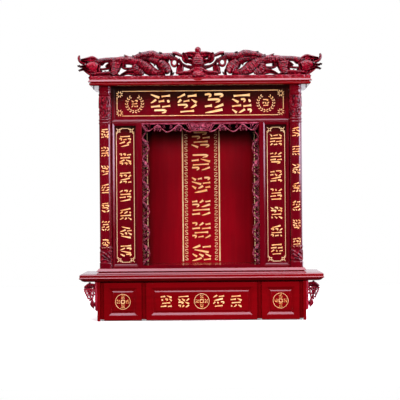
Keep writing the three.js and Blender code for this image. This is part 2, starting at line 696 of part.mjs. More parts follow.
const crestBell = [[0, 22], [25, 28], [23, 46], [20, 62], [17, 64], [19, 78], [15, 80], [17, 93],
  [13, 95], [14, 108], [9, 117], [0, 117]];
const bellFlatness = 0.75; // the bell is shallower than it is wide
const broadFrom = 15.2; // strokes wider than this have a flat top
const broadTop = 0.5; // its share of their width
const crestThinnest = 14;
const crestSwell = 0.6; // a stroke's thickness grows with its width by this share
function crestBody() {
  const middleY = corniceFront + crestSetIn + crestStripDepth / 2;
  const back = middleY + crestStripDepth / 2;
  const foot = corniceTop + joint;
  const rise = jewelHeight / crestDrawnHeight;
  const stripHalf = corniceHalf - crestSetIn;
  const strip = new THREE.Shape();
  strip.moveTo(-stripHalf, 0);
  strip.lineTo(stripHalf, 0);
  strip.absellipse(stripHalf - crestStripHeight, 0, crestStripHeight, crestStripHeight,
    0, Math.PI / 2, false);
  strip.absellipse(-stripHalf + crestStripHeight, 0, crestStripHeight, crestStripHeight,
    Math.PI / 2, Math.PI, false);
  const stripBody = new THREE.ExtrudeGeometry(strip,
    { depth: crestStripDepth, bevelEnabled: false, curveSegments: 4 });
  stripBody.rotateX(Math.PI / 2);
  stripBody.translate(0, back, foot);
  const pieces = [stripBody];
  for (const [sign, reach] of [[-1, crestReachLeft], [1, crestReachRight]]) {
    const stretch = reach / crestDrawnReach;
    const place = (a, b, d) =>
      new THREE.Vector3(crestShift + sign * a * stretch, back - d, foot + b * rise);
    for (const points of Object.values(crestStrokes)) {
      const widest = Math.max(...points.map(([, , w]) => w));
      const thick = Math.min(crestStripDepth - 1, crestThinnest + widest * crestSwell);
      pieces.push(stroke(points, thick, place, widest > broadFrom ? broadTop : 0));
    }
    const { across, up, radius, tube, tall, deep, off } = crestRing;
    const ring = new THREE.TorusGeometry(radius, tube, 4, 8);
    ring.scale(1, tall, deep);
    ring.rotateX(Math.PI / 2);
    ring.translate(crestShift + sign * across * stretch, back - off, foot + up * rise);
    pieces.push(ring);
  }
  const bell = new THREE.LatheGeometry(crestBell.map(([r, h]) => new THREE.Vector2(r, h)), 8);
  bell.rotateX(Math.PI / 2);
  bell.scale(1, bellFlatness, rise);
  bell.translate(crestShift, middleY, foot);
  const jewel = new THREE.SphereGeometry(jewelRadius, 8, 5);
  jewel.rotateX(Math.PI / 2);
  jewel.translate(crestShift, middleY, foot + jewelHeight);
  return joined([...pieces, bell, jewel]);
}
add('dragon_crest', crestBody(), carvedRed, 0.28);

export default altar;
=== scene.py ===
import math
import random

import bmesh
import bpy
import numpy as np
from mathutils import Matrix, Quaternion, Vector


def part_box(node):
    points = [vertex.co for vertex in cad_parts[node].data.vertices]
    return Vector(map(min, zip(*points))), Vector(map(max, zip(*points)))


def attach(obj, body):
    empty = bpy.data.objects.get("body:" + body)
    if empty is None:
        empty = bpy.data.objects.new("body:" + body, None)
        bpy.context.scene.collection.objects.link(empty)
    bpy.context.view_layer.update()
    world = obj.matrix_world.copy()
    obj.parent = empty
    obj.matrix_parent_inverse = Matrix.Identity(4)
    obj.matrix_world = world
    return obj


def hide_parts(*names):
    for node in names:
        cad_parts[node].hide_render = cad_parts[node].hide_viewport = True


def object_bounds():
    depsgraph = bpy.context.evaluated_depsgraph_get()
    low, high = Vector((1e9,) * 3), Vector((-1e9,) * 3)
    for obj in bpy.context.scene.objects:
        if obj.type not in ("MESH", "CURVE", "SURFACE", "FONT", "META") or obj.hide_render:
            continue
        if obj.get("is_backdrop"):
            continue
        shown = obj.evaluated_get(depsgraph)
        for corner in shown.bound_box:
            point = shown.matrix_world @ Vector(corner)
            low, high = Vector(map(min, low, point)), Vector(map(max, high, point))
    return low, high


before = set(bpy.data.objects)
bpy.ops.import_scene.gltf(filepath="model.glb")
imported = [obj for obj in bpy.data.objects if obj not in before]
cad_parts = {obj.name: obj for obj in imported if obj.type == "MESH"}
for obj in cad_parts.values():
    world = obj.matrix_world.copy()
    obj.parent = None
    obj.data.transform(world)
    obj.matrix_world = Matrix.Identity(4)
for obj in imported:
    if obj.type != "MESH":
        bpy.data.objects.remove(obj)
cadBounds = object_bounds()
unit = 0.001  # lengths below are millimetres
altarBody = "altar"
bothSides = (("left", -1), ("right", 1))
drawers = ("left", "centre", "right")


def boxOf(node):
    low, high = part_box(node)
    return np.array(low) / unit, np.array(high) / unit


# Camera: nearly straight in front, from table height, with a long lens and the picture's slight tilt

cameraView = {
    "place": (27, -6800, 502),
    "aim": (-3.8, -200, 532.8),
    "lens": 135,
    "tilt": 0.48,  # degrees
}


def makeCamera(view):
    data = bpy.data.cameras.new("camera")
    data.lens = view["lens"]
    data.clip_end = 100
    camera = bpy.data.objects.new("camera", data)
    camera.location = Vector(view["place"]) * unit
    aim = (Vector(view["aim"]) - Vector(view["place"])).to_track_quat("-Z", "Y")
    roll = Quaternion((0, 0, 1), math.radians(-view["tilt"]))
    camera.rotation_mode = "QUATERNION"
    camera.rotation_quaternion = aim @ roll
    bpy.context.scene.collection.objects.link(camera)
    bpy.context.scene.camera = camera


makeCamera(cameraView)
print("camera set")


# Finishes

class Wire:  # a node's output that takes part in sums
    def __init__(self, finish, socket):
        self.finish = finish
        self.socket = socket

    def sum(self, operation, first, second):
        return self.finish.node("ShaderNodeMath", {"operation": operation}, {0: first, 1: second})

    def __add__(self, other):
        return self.sum("ADD", self, other)

    __radd__ = __add__

    def __sub__(self, other):
        return self.sum("SUBTRACT", self, other)

    def __rsub__(self, other):
        return self.sum("SUBTRACT", other, self)

    def __mul__(self, other):
        return self.sum("MULTIPLY", self, other)

    __rmul__ = __mul__

    def __abs__(self):
        return self.finish.node("ShaderNodeMath", {"operation": "ABSOLUTE"}, {0: self})

    def part(self, name):  # another output of the same node
        return Wire(self.finish, self.socket.node.outputs[name])


surfaceInputs = {"colour": "Base Color", "rough": "Roughness", "metal": "Metallic", "normal": "Normal",
                 "gloss": "Specular IOR Level", "glow": "Emission Color",
                 "glowPower": "Emission Strength"}


class Finish:
    def __init__(self, owner):  # of a material or a world
        owner.use_nodes = True
        self.owner = owner
        self.tree = owner.node_tree

    def node(self, kind, settings=None, inputs=None, output=0):
        made = self.tree.nodes.new(kind)
        for key, value in (settings or {}).items():
            setattr(made, key, value)
        for key, value in (inputs or {}).items():
            self.feed(made.inputs[key], value)
        return Wire(self, made.outputs[output])

    def feed(self, socket, value):
        if isinstance(value, Wire):
            self.tree.links.new(value.socket, socket)
        elif isinstance(value, tuple) and len(value) == 3 and socket.type == "RGBA":
            socket.default_value = (*value, 1)
        else:
            socket.default_value = value

    def dress(self, **values):
        surface = self.tree.nodes["Principled BSDF"]
        for key, value in values.items():
            self.feed(surface.inputs[surfaceInputs[key]], value)
        return self.owner

    def place(self, stretch=(1, 1, 1)):
        spot = self.node("ShaderNodeTexCoord", output="Object")
        return self.node("ShaderNodeMapping", {}, {"Vector": spot, "Scale": stretch})

    def noise(self, where, scale, detail=3.0, rough=0.5):
        return self.node("ShaderNodeTexNoise", {},
                         {"Vector": where, "Scale": scale, "Detail": detail, "Roughness": rough})

    def spread(self, value, low, high, newLow=0.0, newHigh=1.0):
        return self.node("ShaderNodeMapRange", {}, {"Value": value, "From Min": low, "From Max": high,
                                                    "To Min": newLow, "To Max": newHigh})

    def blend(self, factor, first, second):  # the colour sockets of a mix node are its 6th and 7th
        return self.node("ShaderNodeMix", {"data_type": "RGBA"}, {0: factor, 6: first, 7: second},
                         output=2)

    def bump(self, height, strength, distance):
        return self.node("ShaderNodeBump", {},
                         {"Height": height, "Strength": strength, "Distance": distance})


lacquers = {  # deep and bright colour, roughness, how the wood's figure runs under the lacquer
    "tableLacquer": {"deep": (0.1, 0.0003, 0.0012), "bright": (0.17, 0.0006, 0.002), "rough": 0.12,
                     "grain": (0.6, 9, 9)},
    "caseLacquer": {"deep": (0.1, 0.0005, 0.0016), "bright": (0.155, 0.0008, 0.0026), "rough": 0.1,
                    "grain": (0.6, 9, 9)},
    "shrineLacquer": {"deep": (0.06, 0.0004, 0.003), "bright": (0.105, 0.0006, 0.0042), "rough": 0.14,
                      "grain": (9, 9, 0.6)},
    # the inner lacquer has painted shade at the niche's top and sides
    "innerLacquer": {"deep": (0.15, 0.0006, 0.0042), "bright": (0.24, 0.0012, 0.0062), "rough": 0.2,
                     "grain": (9, 9, 0.6), "paintedShade": ((0.78, 0.88), (0.222, 0.25))},
    "pegLacquer": {"deep": (0.01, 0.0004, 0.0008), "bright": (0.02, 0.0008, 0.0014), "rough": 0.6,
                   "grain": (1, 1, 0.1)},
}
# Painted shade sets in between two heights, and between two distances from the middle, in metres; the
# title and couplet lacquers are shaded copies of the shrine's
for name, height in (("titleShadedLacquer", (0.935, 1.0)), ("coupletShadedLacquer", (0.8, 0.86))):
    lacquers[name] = lacquers["shrineLacquer"] | {"paintedShade": (height, (0.5, 0.6))}
paintedShadeColour = (0.01, 0.0025, 0.0015)
paintedShadeMost = 0.8
paintedShadeEnds = (0.182, 0.186)  # none behind the niche's back


def lacquer(name, deep, bright, rough, grain, paintedShade=None):  # painted shade gathers high up and far out, where the overhangs and the niche's walls shade the boards
    finish = Finish(bpy.data.materials.new(name))
    where = finish.place(grain)
    figure = finish.noise(where, 6, 4, 0.6)  # the wood under the lacquer
    cloud = finish.noise(finish.place(), 2.2, 2)
    tone = finish.spread(figure * 0.45 + cloud * 0.55, 0.34, 0.66)
    speck = finish.noise(finish.place(), 420, 1)
    wear = finish.spread(finish.noise(finish.place(), 14, 4, 0.7), 0.45, 0.75)
    skin = finish.noise(finish.place(), 60, 2)
    colour = finish.blend(tone, deep, bright)
    # painted shade: the colour darkens towards the top and the outer sides, with noise, and none behind
    # the niche's back
    if paintedShade:
        where = finish.node("ShaderNodeNewGeometry", output="Position")
        spot = finish.node("ShaderNodeSeparateXYZ", {}, {0: where})
        inside = finish.spread(spot.part("Y"), *paintedShadeEnds, 1, 0)
        shadeNoise = finish.noise(finish.place(), 5, 3) * 0.5
        dark = (finish.spread(spot.part("Z"), *paintedShade[0], 0, paintedShadeMost)
                + finish.spread(abs(spot.part("X")), *paintedShade[1], 0, paintedShadeMost))
        share = finish.spread(dark + shadeNoise, 0.25, 1.1) * inside
        colour = finish.blend(share, colour, paintedShadeColour)
    return finish.dress(
        colour=colour,
        rough=rough + wear * 0.06 + speck * 0.02,
        normal=finish.bump(skin + figure * 0.4, 0.04, 0.0015))


carvings = {  # like the lacquers, with the painted shade colour of the hollows and the size of the cut marks
    "carvedLacquer": {"deep": (0.13, 0.0008, 0.006), "bright": (0.25, 0.003, 0.016),
                      "hollowShade": (0.006, 0.0001, 0.0004), "cuts": 115, "depth": 0.0022, "gloss": 0.3,
                      "shade": (0.4, 0.8), "rough": 0.2},
    # the fretwork's lacquer is lighter and pinker than the rest: a painted sheen on the same red
    # lacquer
    "fretSheenLacquer": {"deep": (0.17, 0.008, 0.022), "bright": (0.42, 0.07, 0.13),
                    "hollowShade": (0.008, 0.0004, 0.001), "cuts": 95, "depth": 0.001, "gloss": 0.8,
                    "shade": (0.32, 0.7), "rough": 0.16},
    "columnLacquer": {"deep": (0.12, 0.0008, 0.006), "bright": (0.22, 0.003, 0.014),
                      "hollowShade": (0.01, 0.0002, 0.001), "cuts": 80, "depth": 0.0002, "gloss": 0.35},
    "grapeLacquer": {"deep": (0.13, 0.003, 0.01), "bright": (0.26, 0.01, 0.026),
                     "hollowShade": (0.02, 0.0004, 0.0014), "cuts": 80, "depth": 0.0002, "gloss": 0.5,
                     "shade": (0.25, 0.6)},
}


def carvedLacquer(name, deep, bright, hollowShade, cuts, depth, gloss, shade=(0.42, 0.84), rough=0.24):
    finish = Finish(bpy.data.materials.new(name))
    exposed = finish.node("ShaderNodeAmbientOcclusion", {"samples": 6, "only_local": True},
                          {"Distance": 0.008}, output="AO")
    stir = finish.node("ShaderNodeTexNoise", {}, {"Vector": finish.place(), "Scale": 45},
                       output="Color")
    bent = finish.node("ShaderNodeVectorMath", {"operation": "MULTIPLY_ADD"},
                       {0: stir, 1: (0.012, 0.012, 0.012), 2: finish.place()})
    marks = finish.node("ShaderNodeTexVoronoi", {"feature": "SMOOTH_F1"},
                        {"Vector": bent, "Scale": cuts, "Smoothness": 0.25})
    ridges = finish.spread(marks, 0.12, 0.6, 1, 0)
    tone = finish.spread(finish.noise(finish.place(), 26, 3), 0.35, 0.65)
    # painted shade: creases and cut marks darken towards the hollow colour, by ambient occlusion and
    # the marks' depth
    unshadedShare = finish.spread(exposed * 0.6 + ridges * 0.4, *shade)
    dust = finish.spread(finish.noise(finish.place(), 90, 3, 0.7), 0.5, 0.8)
    return finish.dress(
        colour=finish.blend(unshadedShare, hollowShade, finish.blend(tone, deep, bright)),
        rough=rough + dust * 0.14,
        gloss=gloss,
        normal=finish.bump(ridges, 0.8, depth))


def gilding(name, pale, rich):
    finish = Finish(bpy.data.materials.new(name))
    tone = finish.spread(finish.noise(finish.place(), 38, 4, 0.6), 0.35, 0.7)
    brushed = finish.noise(finish.place((1, 1, 6)), 220, 2)
    return finish.dress(
        colour=finish.blend(tone, rich, pale),
        metal=0.25,
        rough=0.34 + brushed * 0.2,
        normal=finish.bump(brushed, 0.12, 0.0006))


def planedWood(name, dark, light):
    finish = Finish(bpy.data.materials.new(name))
    where = finish.place((1.2, 0.35, 14))
    bend = finish.noise(finish.place((0.5, 0.3, 3)), 3, 2)
    bands = finish.node("ShaderNodeTexWave", {"wave_profile": "SAW", "bands_direction": "Z"},
                        {"Vector": where, "Scale": 3.5, "Distortion": 5.0, "Detail": 3.0,
                         "Detail Scale": 1.5})
    pores = finish.noise(finish.place((40, 3, 220)), 6, 2)
    tone = finish.spread(bands * 0.6 + bend * 0.4, 0.2, 0.85)
    return finish.dress(
        colour=finish.blend(tone, dark, light),
        rough=0.55 + pores * 0.15,
        normal=finish.bump(pores + bands * 0.3, 0.2, 0.0008))


finishes = {name: lacquer(name, **values) for name, values in lacquers.items()}
finishes |= {name: carvedLacquer(name, **values) for name, values in carvings.items()}
finishes["gilding"] = gilding("gilding", (0.96, 0.68, 0.38), (0.86, 0.45, 0.16))
finishes["lineGilding"] = gilding("lineGilding", (0.9, 0.66, 0.4), (0.7, 0.45, 0.22))
finishes["planedWood"] = planedWood("planedWood", (0.3, 0.15, 0.07), (0.5, 0.29, 0.15))
print("finishes made:", len(finishes))


# Meshes

def makePiece(name, shells, finish, body=altarBody, crease=32):
    corners = np.vstack([points for points, _ in shells]) * unit
    faces = []
    start = 0
    for points, polygons in shells:
        faces += [[start + i for i in polygon] for polygon in polygons]
        start += len(points)
    mesh = bpy.data.meshes.new(name)
    mesh.from_pydata(corners.tolist(), [], faces)
    shaped = bmesh.new()
    shaped.from_mesh(mesh)
    bmesh.ops.recalc_face_normals(shaped, faces=shaped.faces)
    shaped.to_mesh(mesh)
    shaped.free()
    mesh.materials.append(finishes[finish])
    mesh.shade_smooth()
    mesh.set_sharp_from_angle(angle=math.radians(crease))
    piece = bpy.data.objects.new(name, mesh)
    bpy.context.scene.collection.objects.link(piece)
    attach(piece, body)
    return piece


def loft(rings, endless=False):  # a closed skin through rings of as many points each
    rings = np.asarray(rings, float)
    rows, count = rings.shape[:2]
    faces = []
    for row in range(rows if endless else rows - 1):
        here, there = row * count, (row + 1) % rows * count
        for i in range(count):
            j = (i + 1) % count
            faces.append([here + i, here + j, there + j, there + i])
    if not endless:
        faces.append(list(range(count))[::-1])
        faces.append([(rows - 1) * count + i for i in range(count)])
    return rings.reshape(-1, 3), faces


def roundTurn(sides):
    return np.linspace(0, 2 * math.pi, sides, endpoint=False)


def eased(profile, radius, steps=3):  # an open profile with its corners rounded
    profile = [np.array(p, float) for p in profile]
    out = [profile[0]]
    for before, corner, after in zip(profile, profile[1:], profile[2:]):
        back, ahead = before - corner, after - corner
        reach = min(radius, 0.45 * np.linalg.norm(back), 0.45 * np.linalg.norm(ahead))
        start = corner + back / np.linalg.norm(back) * reach
        end = corner + ahead / np.linalg.norm(ahead) * reach
        out.append(start + (start - corner) * 0.1)  # keeps the flats' shading flat
        for t in np.linspace(0, 1, steps + 1):
            out.append((1 - t) ** 2 * start + 2 * t * (1 - t) * corner + t ** 2 * end)
        out.append(end + (end - corner) * 0.1)
    return out + [profile[-1]]


def bead(middle, radius, inset, bulge, steps=8):  # a half round on a moulding's profile
    turn = np.linspace(-math.pi / 2, math.pi / 2, steps + 1)
    return [(inset - bulge * math.cos(a), middle + radius * math.sin(a)) for a in turn]


def softRing(x0, x1, y0, y1, z, radius=1.4, steps=3):  # a rectangle with eased corners
    ring = []
    for cx, cy, first in ((x1, y0, -90), (x1, y1, 0), (x0, y1, 90), (x0, y0, 180)):
        ox = cx - radius if cx == x1 else cx + radius
        oy = cy - radius if cy == y1 else cy + radius
        for i in range(steps):
            a = math.radians(first + 90 * i / (steps - 1))
            ring.append((ox + radius * math.cos(a), oy + radius * math.sin(a), z))
    return ring


def mouldedSlab(node, profile):  # profile steps are set-in and height
    low, high = boxOf(node)
    return loft([softRing(low[0] + inset, high[0] - inset, low[1] + inset, high[1], low[2] + height)
                 for inset, height in profile])


# Stepped rectangles on a face. profile steps are set-in and depth, a set-in may be given for the
# left, right, lower and upper side, and place puts across, up and depth where they belong.
def stepped(across, up, profile, place, endless=False):
    rings = []
    for inset, depth in profile:
        left, right, lower, upper = inset if isinstance(inset, (tuple, list)) else (inset,) * 4
        a0, a1, b0, b1 = across[0] + left, across[1] - right, up[0] + lower, up[1] - upper
        rings.append([place(a, b, depth) for a, b in ((a0, b0), (a1, b0), (a1, b1), (a0, b1))])
    return loft(rings, endless)


sections = {  # a stroke's height from side to side, as shares of its width and thickness
    "round": [(-1, 0.25), (-0.9, 0.52), (-0.65, 0.8), (-0.33, 0.95), (0, 1), (0.33, 0.95), (0.65, 0.8),
              (0.9, 0.52), (1, 0.25)],
    "ridge": [(-1, 0.3), (-0.7, 0.5), (-0.35, 0.76), (-0.1, 0.96), (0.1, 0.96), (0.35, 0.76),
              (0.7, 0.5), (1, 0.3)],
    "gouge": [(-1, 0.55), (-0.85, 0.92), (-0.6, 1), (-0.35, 0.74), (0, 0.56), (0.35, 0.74), (0.6, 1),
              (0.85, 0.92), (1, 0.55)],
    "cut": [(-1, 0.35), (-0.93, 0.9), (-0.8, 1), (-0.62, 0.78), (-0.25, 0.2), (0, 0.08), (0.25, 0.2),
            (0.62, 0.78), (0.8, 1), (0.93, 0.9), (1, 0.35)],
}


def smoothLine(points, step):  # a curve through [across, up, half width], about every step
    points = np.array(points, float)
    padded = np.vstack([2 * points[0] - points[1], points, 2 * points[-1] - points[-2]])
    out = []
    for p0, p1, p2, p3 in zip(padded, padded[1:], padded[2:], padded[3:]):
        count = max(2, int(np.hypot(*(p2 - p1)[:2]) / step))
        t = (np.arange(count) / count)[:, None]
        out.append(0.5 * (2 * p1 + (p2 - p0) * t + (2 * p0 - 5 * p1 + 4 * p2 - p3) * t ** 2
                          + (3 * p1 - p0 - 3 * p2 + p3) * t ** 3))
    line = np.vstack(out + [points[-1:]])
    line[:, 2] = np.maximum(line[:, 2], 0.3)
    return line


def stroke(points, thickness, place, section="round", step=3.0, texture=None):
    line = smoothLine(points, step)
    ahead = np.gradient(line[:, :2], axis=0)
    ahead /= np.maximum(np.linalg.norm(ahead, axis=1), 1e-6)[:, None]
    side = np.stack([-ahead[:, 1], ahead[:, 0]], axis=1)
    along = np.concatenate([[0], np.cumsum(np.linalg.norm(np.diff(line[:, :2], axis=0), axis=1))])
    share = np.array(sections[section])
    u, h = share[:, 0], share[:, 1]
    half = line[:, 2:3]
    spot = line[:, None, :2] + side[:, None, :] * (half * u)[:, :, None]
    height = np.broadcast_to(h * thickness, half.shape[:1] + h.shape).copy()
    if texture:
        height += texture(along[:, None], u[None, :], half)
    back = line[:, None, :2] + side[:, None, :] * (half * np.array([[1, -1]]))[:, :, None]
    flat = np.concatenate([spot, back], axis=1)
    deep = np.concatenate([height, np.zeros((len(line), 2))], axis=1)
    return loft(place(flat[:, :, 0], flat[:, :, 1], deep))


def onFace(faceY, centreX=0.0, footZ=0.0, sign=1):  # heights stand out towards the front
    def place(a, b, d):
        return np.stack([centreX + sign * a, faceY - d + 0 * a, footZ + b], axis=-1)
    return place


def grape(across, up, radius, middle, place, rings=8, sides=14):
    turn = roundTurn(sides)
    shell = []
    for lean in np.linspace(-0.48, 0.48, rings + 1) * math.pi:
        r = radius * math.cos(lean)
        shell.append(place(across + r * np.cos(turn), up + r * np.sin(turn),
                           np.full(sides, middle + radius * math.sin(lean))))
    return loft(shell)


def ringStroke(across, up, radius, half, thickness, place, section="round", sides=40, tall=1.0):
    turn = roundTurn(sides)
    share = sections[section] + [(1, 0), (-1, 0)]
    shell = [place(across + (radius + half * u) * np.cos(turn),
                   up + (radius + half * u) * np.sin(turn) * tall,
                   np.full(sides, h * thickness)) for u, h in share]
    rings = np.swapaxes(np.asarray(shell), 0, 1)
    return loft(rings, endless=True)


# Mouldings

slabs = {
    "tableTop": {"node": "table_top", "profile": eased([
        (20, 0), (18, 1.5), (13, 3), (9, 6.6), (4, 11), (0, 13), (0, 15.2), (2.4, 19), (2.4, 20.2),
        (2.2, 28.4), (4.2, 31.4), (6, 32)], 0.8)},
    "shrineBase": {"node": "shrine_base", "profile": eased([
        (0.6, 0), (0, 0.6), (0, 1.2), (3.8, 7.5), (6, 8), (10, 8.4), (10, 10.2), (0.6, 11.4), (0, 12.2),
        (0, 13), (7.6, 23), (8.6, 24.4), (13, 25)], 0.8) + [(13, 26)]},
    "cornice": {"node": "cornice", "profile": [(24, 0), (14, 1), (10.5, 1.6)] + bead(7.6, 5, 9.5, 5)
                + eased([(10, 14), (10, 16), (1, 16.2), (0, 17.4), (0, 18.8), (5.4, 26.6), (5.8, 31)],
                        0.8)},
}
for name, slab in slabs.items():
    piece = makePiece(name, [mouldedSlab(slab["node"], slab["profile"])], "tableLacquer")
    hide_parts(slab["node"])
print("mouldings made:", len(slabs))


# Fielded drawer fronts, face frames and side panels

drawerFront = {"border": 21, "slope": 13.5, "rise": 8, "inner": 14, "groove": 8, "field": 3,
               "ease": 2.2}
sidePanel = drawerFront | {"border": 45}


def fieldedProfile(thickness, border, slope, rise, inner, groove, field, ease):
    foot = border + slope
    return [(0, thickness)] + eased([
        (0, thickness * 0.5), (0, 0), (border, 0), (foot, groove), (foot + rise, field),
        (foot + rise + inner, field)], ease)


for side in drawers:
    node = f"{side}_drawer_front"
    low, high = boxOf(node)
    front = makePiece(
        f"{side}DrawerFront",
        [stepped((low[0], high[0]), (low[2], high[2]), fieldedProfile(high[1] - low[1], **drawerFront),
                 lambda a, b, d, y=low[1]: (a, y + d, b))],
        "caseLacquer", f"{side}_drawer")
    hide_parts(node)

faceFrames = {  # flat part and slope at the left, right, lower and upper side
    "leftCoupletFrame": {"node": "left_couplet_frame", "flat": (3.5, 19.5, 5, 1),
                         "slope": (7.5, 7.5, 11.3, 11.3)},
    "rightCoupletFrame": {"node": "right_couplet_frame", "flat": (19.5, 3.5, 5, 1),
                          "slope": (7.5, 7.5, 11.3, 11.3)},
    "titleFrame": {"node": "title_frame", "flat": (1, 1, 6.2, 0.8), "slope": (12, 12, 9.8, 7)},
}
frameEdge = [(0.0, 0.8), (0.25, 0.2), (0.6, 0.0)]  # set-in and depth round the outside
frameSlope = [(-0.12, 0.0), (-0.06, 0.0), (0.02, 0.05), (0.06, 0.11), (0.1, 0.17), (0.94, 1.45),
              (0.98, 1.55), (1.0, 1.75), (1.0, 2.1)]  # share of the slope's width, and how far down
slopeLean = 0.3575  # how deep that goes, over the slope's width
thinnestFlat = 0.7
for name, widths in faceFrames.items():
    low, high = boxOf(widths["node"])
    deep = high[1] - low[1]
    flat, slope = np.array(widths["flat"], float), np.array(widths["slope"], float)
    rings = [((w,) * 4, d) for w, d in [(0.0, deep)] + frameEdge]
    for across, down in frameSlope:
        rings.append((tuple(np.maximum(flat + slope * across, thinnestFlat)),
                      down * slopeLean * slope.mean()))
    rings.append((tuple(flat + slope), deep))
    made = makePiece(name, [stepped((low[0], high[0]), (low[2], high[2]), rings,
                                    lambda a, b, d, y=low[1]: (a, y + d, b), endless=True)],
                     "titleShadedLacquer" if name == "titleFrame" else "shrineLacquer",
                     crease=20)
    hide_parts(widths["node"])

for side, sign in bothSides:
    node = f"{side}_shrine_side"
    low, high = boxOf(node)
    outer = low[0] if sign < 0 else high[0]
    panel = makePiece(
        f"{side}ShrineSide",
        [stepped((low[1], high[1]), (low[2], high[2]), fieldedProfile(high[0] - low[0], **sidePanel),
                 lambda a, b, d, x=outer, s=sign: (x - s * d, a, b))],
        "shrineLacquer")
    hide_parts(node)
print("frames and panels made")


# Columns: a half round worked over a grid, with its carving as heights

column = {
    "bulge": 24,
    "arc": 1.2,  # its front's way round, over its width
    "sides": 33,
    "step": 2.0,
    "plain": (104, 634),  # the reach without carving
    "shaft": 2,  # how far the plain reach is set in
    "lift": 0.2,
    "mostProud": 1.9,
    "profile": [(0, 0), (23, 0), (25, 4), (80, 4), (83, 1.2), (86, 2), (100, 2), (638, 2), (640, 4.4),
                (661, 4.4), (664, 5.4), (702, 5.4), (706, 6.4), (734, 6.2), (762, 4.6), (765, 3.6),
                (776, 3.6), (777, 3), (788, 3), (789, 4), (798, 4), (799, 1.4), (806, 1.4)],
    "collars": [(91, 4.6, 2.4), (644, 3, 2), (657, 3.2, 2.2), (770, 4.2, 2.2), (793, 5, 2)],
    "smile": 2.6,  # how far the lower collar sags in the middle
    "depth": 1.35,  # of its carving, over the heights below
    "carved": [(26, 80), (664, 700), (704, 764)],  # reaches with cut marks
}
# Carving in millimetres round the front from its middle, and up from the column's foot:
# [across, up, half width], with its height
columnCarving = [
    (4, [[-30, 684, 2], [-16, 672, 3], [0, 666, 3.6], [16, 672, 3], [30, 684, 2]]),
    (3.4, [[-12, 690, 2], [-9, 680, 3], [-12, 673, 1.6]]),
    (3.4, [[12, 690, 2], [9, 680, 3], [12, 673, 1.6]]),
    (5.4, [[0, 708, 3], [1, 730, 7], [-1, 760, 3]]),
    (4.6, [[-7, 709, 3], [-18, 722, 4.6], [-19, 742, 5], [-10, 758, 3]]),
    (4.6, [[7, 709, 3], [18, 722, 4.6], [19, 742, 5], [10, 758, 3]]),
    (4, [[-10, 730, 2], [-8, 744, 3], [-12, 753, 2]]),
    (4, [[10, 730, 2], [8, 744, 3], [12, 753, 2]]),
    (3.8, [[-31, 714, 3], [-29, 738, 4], [-25, 760, 2.4]]),
    (3.8, [[31, 714, 3], [29, 738, 4], [25, 760, 2.4]]),
    (3.8, [[-21, 74, 2.4], [-6, 66, 3.4], [8, 52, 3.4], [21, 38, 2.4]]),
    (3.6, [[-14, 58, 2.4], [-6, 50, 3.4], [4, 43, 2.8]]),
    (3.6, [[-21, 34, 2.2], [-4, 38, 3], [10, 31, 3], [21, 30, 2]]),
    (3.6, [[17, 75, 2.2], [19, 60, 3], [10, 69, 2.2]]),
    (3.2, [[-28, 30, 2], [-26, 50, 2.6], [-28, 74, 2]]),
    (3.2, [[28, 30, 2], [29, 50, 2.6], [28, 74, 2]]),
]
lotus = [(698, 6, 10.5, 5.4), (687, 5, 8, 4.4)]  # height, half, pitch, proud
petalShape = {"round": 0.8, "taper": 0.4, "sunk": 0.55}


def fieldOf(carving, across, up):  # the height of every stroke over a grid
    height = np.zeros_like(across)
    for tall, points in carving:
        for a, b, w in smoothLine(points, 1.6):
            near = 1 - ((across - a) ** 2 + (up - b) ** 2) / w ** 2
            height = np.maximum(height, tall * np.sqrt(np.clip(near, 0, None)))
    return height


def makeColumn(low, high):
    width = high[0] - low[0]
    tall = high[2] - low[2]
    turn = np.linspace(0, 1, column["sides"])
    arc = width * column["arc"]
    first, last = column["plain"]
    up = np.unique(np.concatenate([np.arange(0, first, column["step"]), np.linspace(first, last, 8),
                                   np.arange(last, tall, column["step"]), [tall]]))
    setIn = np.repeat(np.interp(up, *zip(*column["profile"]))[:, None], len(turn), axis=1)
    grid, level = np.meshgrid((turn - 0.5) * arc, up)
    sag = column["smile"] * np.cos(grid / arc * math.pi)
    lift = column["lift"]
    for middle, half, proud in column["collars"]:
        drop = sag if middle < first else 0
        near = 1 - ((level + drop - middle) / half) ** 2
        setIn = np.minimum(setIn, column["shaft"] + lift
                           - (proud + lift) * np.sqrt(np.clip(near, 0, None)) * (near > 0))
    for middle, half, pitch, proud in lotus:
        petal = np.abs((grid / pitch) % 1 - 0.5) * 2
        reach = np.clip(1 - np.abs(level - middle) / half, 0, 1)
        tip = np.clip(1 - petal ** 2 * petalShape["round"] - (1 - reach) * petalShape["taper"], 0, 1)
        setIn -= np.where(reach > 0, proud * (tip - petalShape["sunk"]), 0)
    setIn = setIn - column["depth"] * fieldOf(columnCarving, grid, level)
    setIn = np.maximum(setIn, -column["mostProud"])
    angle = turn * math.pi
    x = low[0] + width / 2 - np.cos(angle) * (width / 2 - np.maximum(setIn, 0.0))
    y = low[1] + column["bulge"] - np.sin(angle) * (column["bulge"] - setIn)
    z = low[2] + level
    front = np.stack([x, y, z], axis=-1)
    back = np.stack([np.stack([x[:, -1], np.full(len(up), high[1]), z[:, -1]], axis=-1),
                     np.stack([x[:, 0], np.full(len(up), high[1]), z[:, 0]], axis=-1)], axis=1)
    return loft(np.concatenate([front, back], axis=1))


for side, _ in bothSides:
    node = f"{side}_column"
    piece = makePiece(f"{side}Column", [makeColumn(*boxOf(node))], "shrineLacquer",
                      crease=50)
    piece.data.materials.append(finishes["columnLacquer"])
    foot = boxOf(node)[0][2]
    for polygon in piece.data.polygons:
        level = polygon.center.z / unit - foot
        polygon.material_index = any(a < level < b for a, b in column["carved"])
    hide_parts(node)
print("columns made")


# Crest: two dragons facing outwards from a jewel over a bell of folds, pierced through. One half
# is drawn outwards from the jewel and up from the cornice's top.

